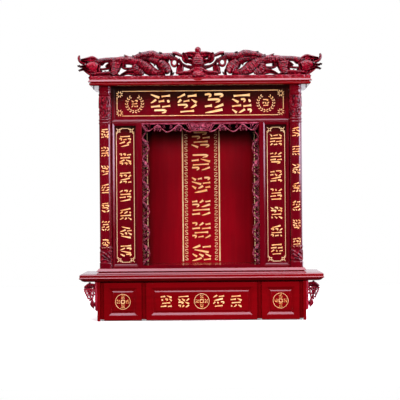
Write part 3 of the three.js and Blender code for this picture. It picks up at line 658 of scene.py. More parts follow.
crest = {
    "reach": {-1: 530, 1: 546},
    "drawnReach": 533,
    "shift": -8,  # the jewel stands left of the middle
    "stripDepth": 28,
    "stripHeight": 12,
    "stripShort": 4,  # of the cornice's ends
    "thinnest": 14,
    "fuller": 1.2,  # against the solid's strokes
    "swell": 0.6,
    "jewel": (125.5, 13.6),  # height and radius
}
crestStrokes = {
    "noseHorn": ("ridge", [[527, 106, 3], [530, 95, 5], [523, 80, 6.5], [501, 69, 9]]),
    "upperLip": ("gouge", [[519, 86, 3.4], [492, 88, 8], [469, 89, 11.5], [448, 84, 7]]),
    "cheek": ("round", [[494, 61, 11], [470, 56, 26], [448, 48, 24]]),
    "upperTongue": ("gouge", [[530, 62, 3], [522, 56, 4.6], [496, 58, 6.5]]),
    "lowerTongue": ("gouge", [[527, 40, 3.4], [516, 43, 4.6], [494, 50, 6.5]]),
    "jaw": ("gouge", [[507, 43, 5], [491, 34, 8.5], [466, 24, 14]]),
    "neckTop": ("ribs", [[457, 79, 8.8], [433, 77, 13], [408, 84, 9.6], [352, 83, 12.3]]),
    "eyeCurl": ("gouge", [[451, 73, 8.8], [443, 62, 9.5], [447, 45, 9.5], [444, 23, 14]]),
    "whisker": ("ridge", [[448, 43, 5], [412, 45.5, 4.6], [378, 53, 7.5]]),
    "frontWave": ("gouge", [[473, 15, 10], [430, 19, 11], [382, 19, 12.3], [347, 10, 6]]),
    "foreleg": ("scales", [[366, 74, 29], [369, 47, 19], [379, 20, 15]]),
    "body": ("scales", [[378, 78, 7.9], [347, 80, 16], [312, 82, 15.5], [281, 78, 17.5],
                        [255, 68, 20.5], [228, 48, 23], [202, 31, 18], [176, 23, 15], [149, 30, 19]]),
    "backFin": ("ribs", [[286, 92, 7.9], [259, 102, 10.6], [228, 106, 13.2], [202, 107, 15],
                         [176, 98, 14], [145, 97, 14], [114, 100, 12]]),
    "firstSpike": ("ridge", [[329, 107, 1.8], [304, 92, 7]]),
    "secondSpike": ("ridge", [[292, 104, 1.8], [272, 94, 8]]),
    "thirdSpike": ("ridge", [[196, 124, 1.8], [203, 110, 8]]),
    "clawBeam": ("ribs", [[337, 61, 11], [322, 46, 5.5], [272, 44, 9]]),
    "thigh": ("scales", [[281, 64, 12], [272, 40, 19], [257, 28, 19.5], [245, 19, 10]]),
    "hindLeg": ("gouge", [[347, 12, 5], [329, 22.5, 6.5], [308, 29, 9.2], [278, 28, 14]]),
    "haunch": ("scales", [[170, 76, 17], [154, 57, 22.5], [138, 38, 19], [129, 26, 11]]),
    "haunchEdge": ("gouge", [[150, 74, 4], [134, 56, 5], [119, 33, 5], [119, 9, 6]]),
    "tail": ("ribs", [[125, 90, 11], [101, 89, 6.8], [84, 76, 6], [61, 58, 5.5], [35, 50, 7.2],
                      [4, 49, 10]]),
    "strand": ("gouge", [[87, 86, 5], [74, 63, 7], [79, 42, 12.5], [82, 17, 14]]),
    "topFlame": ("ridge", [[114, 113, 5.5], [96, 111, 6.8], [74, 102, 6], [55, 101, 8]]),
    "hangingFlame": ("gouge", [[68, 113, 3.4], [60, 104, 9], [57, 88, 12.5], [48, 75, 9.5]]),
    "innerFlame": ("gouge", [[55, 106, 8], [35, 108, 9.5], [10, 103, 13.5]]),
    "lowerFlame": ("gouge", [[52, 77, 6], [33, 75, 9.5], [10, 71, 13.5]]),
    "cloud": ("gouge", [[88, 15, 11.4], [61, 18, 13], [35, 19.5, 15.5], [0, 32, 22]]),
    "finRoot": ("ribs", [[252, 90, 7], [224, 87, 9], [200, 83, 13], [177, 75, 15]]),
}
crestLeaves = [  # small leaves and teeth that reach into the openings
    [[384, 64, 6], [398, 62, 8], [412, 55, 3]], [[438, 70, 5], [428, 64, 5], [418, 70, 3]],
    [[432, 40, 3], [428, 30, 5]], [[414, 28, 3.4], [413, 37, 2.4]], [[390, 46, 4], [394, 34, 5]],
    [[338, 66, 4], [347, 50, 5], [355, 30, 4]], [[324, 62, 3], [321, 54, 3.4]],
    [[304, 20, 3], [272, 15, 4]], [[244, 32, 4], [246, 16, 5]], [[222, 22, 3.4], [206, 15, 4]],
    [[182, 70, 4], [173, 84, 6]], [[194, 64, 4], [193, 56, 3]], [[184, 60, 3], [176, 46, 5]],
    [[152, 86, 4], [128, 80, 7]], [[148, 28, 3], [136, 22, 3], [126, 32, 3.6]],
    [[112, 18, 4], [106, 28, 2]], [[92, 20, 4], [99, 28, 2.6]],
    [[86, 62, 3], [92, 46, 4], [94, 30, 4]], [[47, 104, 5], [40, 94, 4], [22, 91, 5]],
    [[64, 78, 4], [52, 70, 4], [40, 74, 3]], [[34, 68, 4], [22, 62, 4]], [[66, 56, 3], [67, 38, 4]],
    [[492, 84, 5], [494, 68, 6], [490, 56, 4]], [[114, 106, 4], [100, 101, 3]],
    [[478, 12, 5], [486, 4, 4]], [[534, 62, 3], [532, 55, 3]], [[524, 36, 4], [532, 41, 2]],
    [[250, 113, 4], [262, 117, 2]], [[160, 112, 4], [172, 117, 2]], [[214, 116, 4], [226, 120.5, 2]],
]
crestRing = (105, 71, 13.2, 5.2)  # across, up, radius, half width
crestBell = [(34, 10), (30, 22), (24, 30), (25, 44), (21, 50), (28, 57), (28.6, 66), (27.6, 80),
             (25.4, 91), (18, 98), (13, 105), (11.5, 114), (0, 116)]  # half width and height
bellFolds = {"from": 56, "to": 104, "fade": 6, "pitch": 8.4, "proud": 2, "sag": 5, "flat": 0.75,
             "backHalf": 13.6}
bellRings = {"first": 12, "last": 115, "step": 1.4}


def scales(along, u, half):  # overlapping scales in staggered rows
    pitch = 8.5
    row = np.floor(along / pitch)
    local = along / pitch - row
    wide = u * half / pitch + 0.5 * (row % 2)
    off = np.abs(wide - np.round(wide)) * 2
    return 4.4 * (np.clip(local - off ** 2 * 0.5, 0, 1) - 0.5) * (np.abs(u) < 0.95)


def ribs(along, u, half):
    return 2.6 * np.sin((along + np.abs(u) * half * 0.9) * 2 * math.pi / 9) * (np.abs(u) < 0.95)


def carvedPiece(name, shells, finish="fretSheenLacquer"):
    return makePiece(name, shells, finish, crease=48)


textures = {"scales": ("round", scales, 1.5), "ribs": ("round", ribs, 1.8)}


def carved(kind, points, thickness, place, step=3.0):
    section, texture, fine = textures.get(kind, (kind, None, step))
    return stroke(points, thickness, place, section, fine, texture)


def stripShell(foot, back):
    low, high = boxOf("cornice")
    half = (high[0] - low[0]) / 2 - crest["stripShort"]
    r = crest["stripHeight"]
    quarter = [(r * math.cos(t), r * math.sin(t)) for t in np.linspace(0.12, math.pi / 2, 7)]
    arc = [(-half, 0), (half, 0)] + [(half - r + a, b) for a, b in quarter]
    arc += [(-half + r - a, b) for a, b in quarter[::-1]]
    front = back - crest["stripDepth"]
    return loft([[(x * (1 - shrink / half), y, foot + z - (shrink if z > 1 else 0)) for x, z in arc]
                 for y, shrink in ((front, 1.4), (front + 0.5, 0.5), (front + 1.6, 0), (back, 0))])


def bellShell(foot, middleY):
    turn = roundTurn(24)
    front = np.clip(-np.sin(turn), 0, 1)
    halves, levels = zip(*crestBell)
    heights = np.concatenate([levels[:1], np.arange(*bellRings.values()), levels[-1:]])
    near = np.minimum(heights - bellFolds["from"], bellFolds["to"] - heights) / bellFolds["fade"]
    rings = []
    for r, h, fold in zip(np.interp(heights, levels, halves), heights, np.clip(near, 0, 1)):
        wave = abs((h / bellFolds["pitch"]) % 1 - 0.5) * 4 - 1
        r = max(r + fold * bellFolds["proud"] * wave, 0.2)
        flat = r * bellFolds["flat"]
        deep = np.where(front > 0, flat, min(flat, bellFolds["backHalf"]))
        rings.append(np.stack([crest["shift"] + r * np.cos(turn), middleY + deep * np.sin(turn),
                               foot + h - fold * bellFolds["sag"] * front ** 1.5], axis=-1))
    return loft(rings)


def jewelShell(foot, middleY):
    turn = roundTurn(24)
    height, radius = crest["jewel"]
    return loft([np.stack([crest["shift"] + radius * math.cos(t) * np.cos(turn),
                           middleY + radius * math.cos(t) * np.sin(turn),
                           np.full(24, foot + height + radius * math.sin(t))], axis=-1)
                 for t in np.linspace(-math.pi / 2 * 0.98, math.pi / 2 * 0.98, 13)])


def crestShells():
    low, high = boxOf("dragon_crest")
    foot, back = low[2], high[1]
    most = crest["stripDepth"] - 1
    shells = [stripShell(foot, back)]
    for sign in (-1, 1):
        stretch = crest["reach"][sign] / crest["drawnReach"]

        def place(a, b, d, s=sign, k=stretch):
            return np.stack([crest["shift"] + s * a * k, back - d + 0 * a, foot + b], axis=-1)

        for points in crestLeaves:
            shells.append(carved("gouge", points, crest["thinnest"] + 4, place, 2))
        for kind, points in crestStrokes.values():
            widest = max(w for _, _, w in points)
            wider = [[a, b, w * crest["fuller"]] for a, b, w in points]
            shells.append(carved(kind, wider, min(most, crest["thinnest"] + widest * crest["swell"]),
                                 place))
        across, up, radius, half = crestRing
        shells.append(ringStroke(across, up, radius, half, 16, place, "round", 24, 1.2))
    middleY = back - crest["stripDepth"] / 2
    return shells + [bellShell(foot, middleY), jewelShell(foot, middleY)]


dragonCrest = carvedPiece("dragonCrest", crestShells(), "carvedLacquer")
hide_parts("dragon_crest")
print("crest made")


# Valance, drawn outwards from the middle and down from the top of the niche's mouth

valance = {"bar": 9, "sink": 4.4, "plaqueTop": 114, "plaqueFoot": 84, "plaqueHeight": 36, "dip": 3,
           "rim": 5, "scrollDrop": 8, "barDepth": 0.85}
plaqueRim = [(0, 0), (0, 0.78), (0.25, 0.97), (0.75, 0.97), (1, 0.5)]  # share inwards, and of the depth
valanceStrokes = {
    "wave": ("round", [[259, -6, 3.4], [246, -25, 3.2], [231, -32, 3.2], [213, -23, 3], [189, -7, 3.4],
                       [169, -25, 3], [148, -38, 3.2], [122, -26, 3], [95, -6, 3.4], [74, -26, 3],
                       [50, -37, 3.2], [40, -36, 3]]),
    "cornerBar": ("ridge", [[253, -5, 3], [234, -31, 3]]),
    "secondCornerBar": ("ridge", [[259, -14, 2.4], [241, -36, 2.4]]),
    "outerCurl": ("gouge", [[224, -3, 3], [228, -15, 3.4], [222, -24, 2.6]]),
    "outerBud": ("round", [[236, -4, 2.4], [232, -12, 3.4]]),
    "middleCurl": ("gouge", [[160, -3, 3.2], [164, -14, 3.6], [156, -20, 2.6]]),
    "innerCurl": ("gouge", [[134, -3, 3.2], [129, -14, 3.6], [138, -22, 2.6]]),
    "endBar": ("ridge", [[62, -3, 3], [42, -36, 3]]),
}
for crown in (189, 97):  # leaves hang from each crown of the wave
    valanceStrokes |= {
        f"leaf{crown}": ("ribs", [[crown + 4, -9, 4], [crown + 13, -22, 6.4], [crown + 17, -34, 2.4]]),
        f"lobe{crown}": ("ribs", [[crown - 3, -9, 4], [crown - 11, -21, 6], [crown - 8, -35, 2.2]]),
        f"tongue{crown}": ("gouge", [[crown, -10, 3.6], [crown + 1, -22, 4.6], [crown + 4, -33, 2]]),
    }
plaqueScrolls = [[[4, -9, 2], [14, -14, 3], [24, -10, 2.8], [19, -6, 1.8]],
                 [[28, -8, 2], [37, -13, 2.8], [45, -9, 2]],
                 [[8, -25, 1.8], [16, -20, 2.8], [26, -26, 2.6], [36, -21, 2]],
                 [[0, -8, 2], [0, -20, 3.2], [0, -29, 1.8]],
                 [[44, -18, 1.6], [39, -24, 2.4], [33, -31, 1.6]]]


def plaqueShell(deep, back, top):
    a, b = valance["plaqueTop"] / 2, valance["plaqueFoot"] / 2
    rim, dip = valance["rim"], valance["dip"]
    head = -valance["bar"] / 2
    foot = head - valance["plaqueHeight"]
    outline = [(-a, head), (-b, foot), (0, foot + dip), (b, foot), (a, head)]
    inner = [(-a + rim * 1.4, head), (-b + rim * 0.9, foot + rim), (0, foot + dip + rim),
             (b - rim * 0.9, foot + rim), (a - rim * 1.4, head)]
    return loft([[(x0 + (x1 - x0) * share, back - deep * height, top + z0 + (z1 - z0) * share)
                  for (x0, z0), (x1, z1) in zip(outline, inner)] for share, height in plaqueRim])


def valanceShells():
    low, high = boxOf("valance")
    deep, back, top = high[1] - low[1], high[1], high[2]
    bar, sink = valance["bar"], valance["sink"]
    shells = []
    for sign in (-1, 1):
        place = onFace(back, 0, top - sink, sign)
        for kind, points in valanceStrokes.values():
            shells.append(carved(kind, points, deep, place, 2.5))
        for points in plaqueScrolls:
            lower = [[a, b + sink - valance["scrollDrop"], w] for a, b, w in points]
            shells.append(stroke(lower, deep, place, "round", 2))
    shells.append(stroke([[end, -bar / 2, bar / 2] for end in (-high[0], high[0])],
                         deep * valance["barDepth"], onFace(back, 0, top), "round", 30))
    return shells + [plaqueShell(deep, back, top)]


piece = carvedPiece("valance", valanceShells())
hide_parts("valance")


# Vine fretwork, drawn inwards from the jamb and up from the sill, one turn at a time

vine = {"pitch": 94, "width": 33, "stem": 2.2, "foot": 2, "fuller": 1.05}
vineTurn = {  # in shares of width and turn
    "broadLeaf": ("ribs", [[0.03, 1.0, 3], [0.3, 0.88, 7.5], [0.55, 0.76, 8], [0.85, 0.64, 3.4]]),
    "leafEdge": ("gouge", [[0.02, 0.86, 2.4], [0.2, 0.76, 4.4], [0.45, 0.64, 3.4]]),
    "bract": ("gouge", [[0.9, 0.86, 2.4], [0.72, 0.8, 3.6], [0.6, 0.7, 2.4]]),
    "curl": ("gouge", [[0.06, 0.5, 2.2], [0.24, 0.45, 4.4], [0.5, 0.5, 4.2], [0.78, 0.56, 2.4]]),
    "hook": ("gouge", [[0.08, 0.37, 3], [0.3, 0.34, 3.6], [0.42, 0.41, 2.6]]),
    "smallLeaf": ("ribs", [[0.85, 0.34, 2.6], [0.55, 0.26, 5.4], [0.25, 0.2, 4], [0.08, 0.13, 2]]),
    "tendril": ("gouge", [[0.72, 0.12, 2.2], [0.45, 0.07, 3.4], [0.2, 0.1, 2.6]]),
}


def vineShells(node, sign):
    low, high = boxOf(node)
    deep = high[1] - low[1]
    jamb = high[0] if sign > 0 else low[0]
    place = onFace(high[1], jamb, low[2], -sign)
    turns = (high[2] - low[2] - vine["foot"]) / vine["pitch"]
    stem = []
    for quarter in range(round(turns * 4) + 1):
        swing = (1 - math.cos(quarter * math.pi / 2)) / 2
        stem.append([vine["stem"] + swing * (vine["width"] - 2 * vine["stem"]),
                     vine["foot"] + quarter * vine["pitch"] / 4, vine["stem"]])
    shells = [stroke(stem, deep, place, "round", 3)]
    for turn in range(int(turns)):
        for kind, points in vineTurn.values():
            wider = [[a * vine["width"], (turn + b) * vine["pitch"], w * vine["fuller"]]
                     for a, b, w in points]
            shells.append(carved(kind, wider, deep, place, 2.5))
    return shells


for side, sign in bothSides:
    node = f"{side}_vine_fretwork"
    piece = carvedPiece(f"{side}VineFretwork", vineShells(node, sign))
    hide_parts(node)
print("valance and fretwork made")


# Grape brackets: a leg against the case and a pierced cluster outside it

bracket = {"legWidth": 10, "legRound": 8, "relief": 13.5, "cluster": 9, "grape": 5.1, "middle": 11}
bracketStrokes = {
    "stem": ("gouge", [[23, -2, 4.4], [25, -18, 5.7]]),
    "outerLeaf": ("ribs", [[20, -17, 5], [36, -20, 7], [49, -26, 1.8]]),
    "outerLobe": ("ribs", [[22, -32, 9], [48, -35, 1.8]]),
    "innerLeaf": ("ridge", [[26, -18, 5.3], [12, -15, 5.7], [-1, -23, 6.6]]),
    "innerCurl": ("gouge", [[4, -22, 4.4], [7, -33, 4], [18, -42, 6]]),
    "cluster": ("round", [[26, -24, 5], [25, -44, 5], [20, -66, 3.4], [12, -90, 2.4]]),
    "topLeaf": ("ribs", [[0, -12, 3], [14, -12, 5], [30, -13, 5.6], [47, -22, 2.4]]),
    "leafCurl": ("gouge", [[6, -24, 2.4], [18, -25, 4], [34, -27, 4], [47, -32, 2]]),
    "leafTip": ("gouge", [[2, -12, 3], [-2, -22, 4], [6, -32, 3]]),
    "tie": ("round", [[22, -60, 4], [-1, -56, 4]]),
    "bud": ("ridge", [[12, -84, 5.3], [12, -99, 11.4], [7, -119, 1.3]]),
    "budLobe": ("ridge", [[6, -98, 9], [23, -99, 1.8]]),
    "budTie": ("gouge", [[14, -99, 8], [-1, -100, 9.7]]),
}
grapeRows = [  # height, first and last grape across, count
    (-33, 5, 46, 5), (-41, 4, 44, 5), (-49, 7, 41, 4), (-57, 7, 37, 4), (-65, 9, 33, 3),
    (-73, 11, 30, 3), (-81, 12, 22, 2), (-88, 14, 14, 1)]


def bracketShells(node, sign):
    low, high = boxOf(node)
    deep = high[1] - low[1]
    inner = low[0] if sign > 0 else high[0]
    place = onFace(high[1], inner + sign * bracket["legWidth"], high[2], sign)
    r, w, h = bracket["legRound"], bracket["legWidth"], high[2] - low[2]
    outline = [(-w, 0), (-w, -h), (-r, -h)]
    outline += [(-r + r * math.sin(t), -h + r - r * math.cos(t))
                for t in np.linspace(0.2, math.pi / 2, 6)]
    outline += [(0, 0)]
    middle = np.mean(outline, axis=0)
    rings = []
    for d, shrink in ((0, 0), (deep - 1.5, 0), (deep - 0.4, 0.06), (deep, 0.16)):
        spots = [np.array(p) + (middle - np.array(p)) * np.array([shrink, shrink * 0.1])
                 for p in outline]
        rings.append([place(a, b, d) for a, b in spots])
    shells = [loft(rings)]
    for name, (kind, points) in bracketStrokes.items():
        thickness = bracket["cluster"] if name == "cluster" else bracket["relief"]
        shells.append(carved(kind, points, thickness, place, 2.5))
    for up, first, last, count in grapeRows:
        for across in np.linspace(first, last, count):
            shells.append(grape(across, up, bracket["grape"], bracket["middle"], place))
    return shells


for side, sign in bothSides:
    node = f"{side}_grape_bracket"
    piece = carvedPiece(f"{side}GrapeBracket", bracketShells(node, sign), "grapeLacquer")
    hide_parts(node)

peg = {"sides": 16, "deep": 0.86, "ease": 0.4,
       "profile": [(0.3, 0), (0.5, 0), (1, 6.8), (0.72, 11), (0.9, 13), (0.8, 15)]}  # radius, height


def makePeg(low, high):
    turn = roundTurn(peg["sides"])
    middle = (low + high) / 2
    radius = (high[1] - low[1]) / 2
    return loft([np.stack([middle[0] + radius * r * np.cos(turn) * peg["deep"],
                           middle[1] + radius * r * np.sin(turn),
                           np.full(peg["sides"], low[2] + h)], axis=-1)
                 for r, h in eased(peg["profile"], peg["ease"])])


for side, _ in bothSides:
    node = f"{side}_cornice_peg"
    piece = makePiece(f"{side}CornicePeg", [makePeg(*boxOf(node))], "pegLacquer")
    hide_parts(node)
print("brackets and pegs made")


# Gilding. Each written place holds rows of slanting brush strokes that aren't letters.

brush = {"rows": 4, "height": 2.2, "thick": 0.05, "fill": 0.86}
marks = {  # a brush mark in its own cell, as shares of the cell and of the mark's half width
    "level": [(-0.5, -0.16, 0.9), (-0.2, -0.04, 0.7), (0.2, 0.06, 0.8), (0.5, 0.16, 1.2)],
    "leftFalling": [(0.46, 0.5, 1.1), (0.15, 0.12, 1.0), (-0.2, -0.26, 0.8), (-0.5, -0.5, 0.3)],
    "rightFalling": [(-0.5, 0.5, 0.4), (-0.15, 0.16, 0.8), (0.2, -0.2, 1.1), (0.5, -0.48, 1.3)],
    "drop": [(-0.22, 0.4, 0.5), (0, 0, 1.2), (0.16, -0.4, 0.9)],
    "hook": [(-0.46, 0.4, 0.9), (0.3, 0.44, 1.0), (0.34, -0.1, 0.9), (0.1, -0.5, 0.3)],
}
wideMarks = ["level", "hook", "leftFalling", "rightFalling", "level"]
shortMarks = ["drop", "leftFalling", "rightFalling", "hook"]


def brushRows(seed, width, height, rows=None):  # rows of slanting brush marks that never cross
    draw = random.Random(seed)
    rows = rows or brush["rows"]
    pitch = height / rows
    thick = brush["thick"] * height * 4 / rows
    strokes = []
    previous = 0
    for row in range(rows):
        count = draw.choice([n for n in (1, 2, 3) if n != previous])
        previous = count
        reach = width * (0.96 if count > 1 else draw.uniform(0.7, 0.95))
        shares = [draw.uniform(0.75, 1.25) for _ in range(count)]
        left = -reach / 2
        for share in shares:
            span = reach * share / sum(shares)
            mark = marks[draw.choice(wideMarks if span > pitch * 1.4 else shortMarks)]
            across = left + span / 2
            up = height / 2 - (row + 0.5) * pitch
            w = thick * draw.uniform(0.85, 1.15)
            clear = max(span - 2.4 * w, span * 0.4), max(pitch * brush["fill"] - 1.2 * w, pitch * 0.3)
            strokes.append([[across + a * clear[0], up + b * clear[1], w * c] for a, b, c in mark])
            left += span
    return strokes


def gildedRows(place, spots, width, height, seed, rows=None):
    shells = []
    for number, (a, b) in enumerate(spots):
        for points in brushRows(seed + number, width, height, rows):
            moved = [[a + x, b + z, w] for x, z, w in points]
            shells.append(stroke(moved, brush["height"], place, "cut", max(1.6, width / 26)))
    return shells


def goldLine(place, start, end, half):
    return stroke([[*start, half], [*end, half]], 1.0, place, "round", 60)


def borderShells(place, border, wide, tall, half):  # four lines that stop short of the corners
    x0, x1, z0, z1 = border
    shells = [goldLine(place, (x0 + wide, z), (x1 - wide, z), half) for z in (z0, z1)]
    return shells + [goldLine(place, (x, z0 + tall), (x, z1 - tall), half) for x in (x0, x1)]


def cornersOf(border):  # each corner with its ways inwards
    x0, x1, z0, z1 = border
    return [(x, z, inX, inZ) for x, inX in ((x0, 1), (x1, -1)) for z, inZ in ((z0, 1), (z1, -1))]


def petals(place, across, up, inner, outer, count, half, first):
    shells = []
    for i in range(count):
        a = math.radians(first + i * 360 / count)
        ray = np.array([math.cos(a), math.sin(a)])
        reaches = ((inner, half * 0.5), ((inner + outer) / 2, half), (outer, half * 0.35))
        shells.append(stroke([[across + ray[0] * r, up + ray[1] * r, w] for r, w in reaches],
                             1.2, place, "round", 2))
    return shells


skin = 0.15  # gilding starts this far in front of its board
seeds = {"title": 11, "wreath": 71, "niche": 31, "couplet": 200, "column": 400, "coin": 500,
         "drawer": 600, "side": 40}


def gild(name, shells, finish="gilding", body=altarBody):
    makePiece(name, shells, finish, body, crease=60)


titlePlace = onFace(boxOf("title_board")[0][1] - skin)
title = {
    "border": (-371, 371, 911, 1021), "borderHalf": 1.3, "cornerGap": (22, 26),
    "glyphs": [(-177, 964), (-58, 964), (63, 964), (186, 964)], "glyph": (100, 92),
    "wreaths": [(-293, 965), (293, 965)], "wreathGlyph": 34,
    "flower": (11, 13.5), "petals": (6, 15.5, 8, 1.9, 22),
}
laurel = {"radius": 35, "leaves": 8, "from": -86, "sweep": 158, "apart": 0.9, "length": 7.8,
          "spread": 5.8, "leaf": (0.7, 2, 0.6)}


def laurelShells(place, across, up):
    shells = []
    for side in (-1, 1):
        for i in range(laurel["leaves"]):
            turn = math.radians(laurel["from"] + i * laurel["sweep"] / laurel["leaves"])
            outward = np.array([side * math.cos(turn), math.sin(turn)])
            ahead = np.array([-side * math.sin(turn), math.cos(turn)])
            spot = np.array([across, up]) + outward * laurel["radius"]
            for lean in (-1, 1):
                root = spot + outward * lean * laurel["apart"]
                tip = spot + ahead * laurel["length"] + outward * lean * laurel["spread"]
                middle = (root + tip) / 2 + outward * lean
                shells.append(stroke([[*p, w] for p, w in zip((root, middle, tip), laurel["leaf"])],
                                     1.3, place, "round", 2))
    return shells


def titleShells():
    shells = borderShells(titlePlace, title["border"], *title["cornerGap"], title["borderHalf"])
    for x, z, inX, inZ in cornersOf(title["border"]):
        shells += petals(titlePlace, x + inX * title["flower"][0], z + inZ * title["flower"][1],
                         *title["petals"])
    for spot in title["wreaths"]:
        shells += laurelShells(titlePlace, *spot)
    size = title["wreathGlyph"]
    shells += gildedRows(titlePlace, title["wreaths"], size, size, seeds["wreath"], 3)
    shells += gildedRows(titlePlace, title["glyphs"], *title["glyph"], seeds["title"])
    return shells


gild("titleGilding", titleShells())

couplet = {"border": (297.5, 375.5, 258, 855.5), "half": 1.1, "cornerGap": (20, 16), "corner": 11,
           "middle": 336.5, "top": 799, "pitch": 81.4, "count": 7, "glyph": (60, 54)}
cornerRays = [(-11, -11, 1.6), (13, -9, 1.5), (-9, 13, 1.5), (5, -10, 1.3), (-10, 5, 1.3), (7, 7, 1.3)]
rayShape = [(0.42, 0.8), (0.75, 1), (1, 0.4)]  # how far out, and the share of its half width
coupletPlace = onFace(boxOf("left_couplet_board")[0][1] - skin)


def coupletShells(sign):
    x0, x1, z0, z1 = couplet["border"]
    border = (*sorted((sign * x0, sign * x1)), z0, z1)
    shells = borderShells(coupletPlace, border, *couplet["cornerGap"], couplet["half"])
    for x, z, inX, inZ in cornersOf(border):
        x, z = x + inX * couplet["corner"], z + inZ * couplet["corner"]
        shells.append(ringStroke(x, z, 5, 1.2, 1.3, coupletPlace, "round", 14))
        for dx, dz, w in cornerRays:
            shells.append(stroke([[x + inX * dx * s, z + inZ * dz * s, w * t] for s, t in rayShape],
                                 1.2, coupletPlace, "round", 2))
    return shells


def coupletGlyphs(sign):
    spots = [(sign * couplet["middle"], couplet["top"] - i * couplet["pitch"])
             for i in range(couplet["count"])]
    return gildedRows(coupletPlace, spots, *couplet["glyph"], seeds["couplet"] + seeds["side"] * sign)


for side, sign in bothSides:
    gild(f"{side}CoupletBorder", coupletShells(sign), "lineGilding")
    gild(f"{side}CoupletGilding", coupletGlyphs(sign))

columnGilding = {"top": 832, "pitch": 82, "count": 7, "glyph": (43, 45)}
for side, sign in bothSides:
    low, high = boxOf(f"{side}_column")
    width = high[0] - low[0]

    def roundPlace(a, b, d, low=low, half=width / 2):
        bulge, shaft = column["bulge"], column["shaft"]
        angle = math.pi / 2 + a / half
        return np.stack([low[0] + half - np.cos(angle) * (half - shaft + d),
                         low[1] + bulge - np.sin(angle) * (bulge - shaft + d), b + 0 * a], axis=-1)

    spots = [(0, columnGilding["top"] - i * columnGilding["pitch"])
             for i in range(columnGilding["count"])]
    shells = gildedRows(roundPlace, spots, *columnGilding["glyph"],
                        seeds["column"] + seeds["side"] * sign)
    gild(f"{side}ColumnGilding", shells)

niche = {"lines": 85, "lineHalf": 3, "edges": 249, "edgeHalf": 2.4, "span": (250, 876),
         "scrolls": 69, "scrollPitch": 29.7, "firstScroll": 16, "top": 815, "pitch": 105.4, "count": 6,
         "glyph": (98, 78)}
nichePlace = onFace(boxOf("shrine_back")[0][1] - skin)
scrollUnit = [[-4.6, 6.4, 1], [-5.4, 8.8, 1.3], [0, 10, 1.4], [5.4, 8.4, 1.4], [5.2, 4.2, 1.4],
              [0, 0, 1.3], [-5.2, -4.2, 1.4], [-5.4, -8.4, 1.4], [0, -10, 1.4], [5.4, -8.8, 1.3],
              [4.6, -6.4, 1]]


def nicheShells():
    z0, z1 = niche["span"]
    shells = []
    for sign in (-1, 1):
        for x, half in ((niche["lines"], niche["lineHalf"]), (niche["edges"], niche["edgeHalf"])):
            shells.append(goldLine(nichePlace, (sign * x, z0), (sign * x, z1), half))
        for i in range(int((z1 - z0) / niche["scrollPitch"])):
            up = z0 + niche["firstScroll"] + i * niche["scrollPitch"]
            shells.append(stroke([[sign * (niche["scrolls"] + a), up + b, w] for a, b, w in scrollUnit],
                                 1.0, nichePlace, "round", 2))
    return shells


def nicheGlyphs():
    spots = [(0, niche["top"] - i * niche["pitch"]) for i in range(niche["count"])]
    return gildedRows(nichePlace, spots, *niche["glyph"], seeds["niche"])


gild("nicheLines", nicheShells(), "lineGilding")
gild("nicheGilding", nicheGlyphs())

coins = {"radius": 33, "half": 1, "square": 7, "squareHalf": 1.5, "block": 20, "blockSize": (18, 18)}
drawerGlyphs = [(-157, 57), (-80, 57), (75, 57), (152, 57)]


def coinShells(place, across, up, seed):
    shells = [ringStroke(across, up, coins["radius"], coins["half"], 1.1, place, "round", 48)]
    s = coins["square"]
    for x0, z0, x1, z1 in ((-s, -s, s, -s), (s, -s, s, s), (s, s, -s, s), (-s, s, -s, -s)):
        shells.append(goldLine(place, (across + x0, up + z0), (across + x1, up + z1),
                               coins["squareHalf"]))
    for i, (dx, dz) in enumerate(((0, 1), (1, 0), (0, -1), (-1, 0))):
        spot = (across + dx * coins["block"], up + dz * coins["block"])
        shells += gildedRows(place, [spot], *coins["blockSize"], seed + i, 3)
    return shells


for side in drawers:
    low, high = boxOf(f"{side}_drawer_front")
    middle = (low + high) / 2
    place = onFace(low[1] + drawerFront["field"] - skin)
    shells = coinShells(place, middle[0], middle[2], seeds["coin"] + len(side))
    if side == "centre":
        for number, (a, w) in enumerate(drawerGlyphs):
            shells += gildedRows(place, [(a, middle[2])], w, w, seeds["drawer"] + number)
    gild(f"{side}DrawerGilding", shells, body=f"{side}_drawer")
print("gilding made")


# Boards that keep their solids

boardFinishes = {
    "caseLacquer": ["left_case_side", "right_case_side", "left_case_stile", "right_case_stile",
                    "left_case_divider", "right_case_divider", "case_top_rail", "case_bottom"],
    "innerLacquer": ["case_back", "shrine_floor", "left_niche_wall", "right_niche_wall", "shrine_back",
                     "niche_ceiling"],
    "shrineLacquer": ["niche_sill"],
    "coupletShadedLacquer": ["left_couplet_board", "right_couplet_board"],
    "titleShadedLacquer": ["title_board"],
    "planedWood": [f"{side}_drawer_{part}" for side in drawers
                   for part in ("left_side", "right_side", "back", "bottom")],
}
for finish, nodes in boardFinishes.items():
    for node in nodes:
        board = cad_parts[node]
        board.data.materials.clear()
        board.data.materials.append(finishes[finish])
print("boards dressed")


# Floor, lights and surroundings

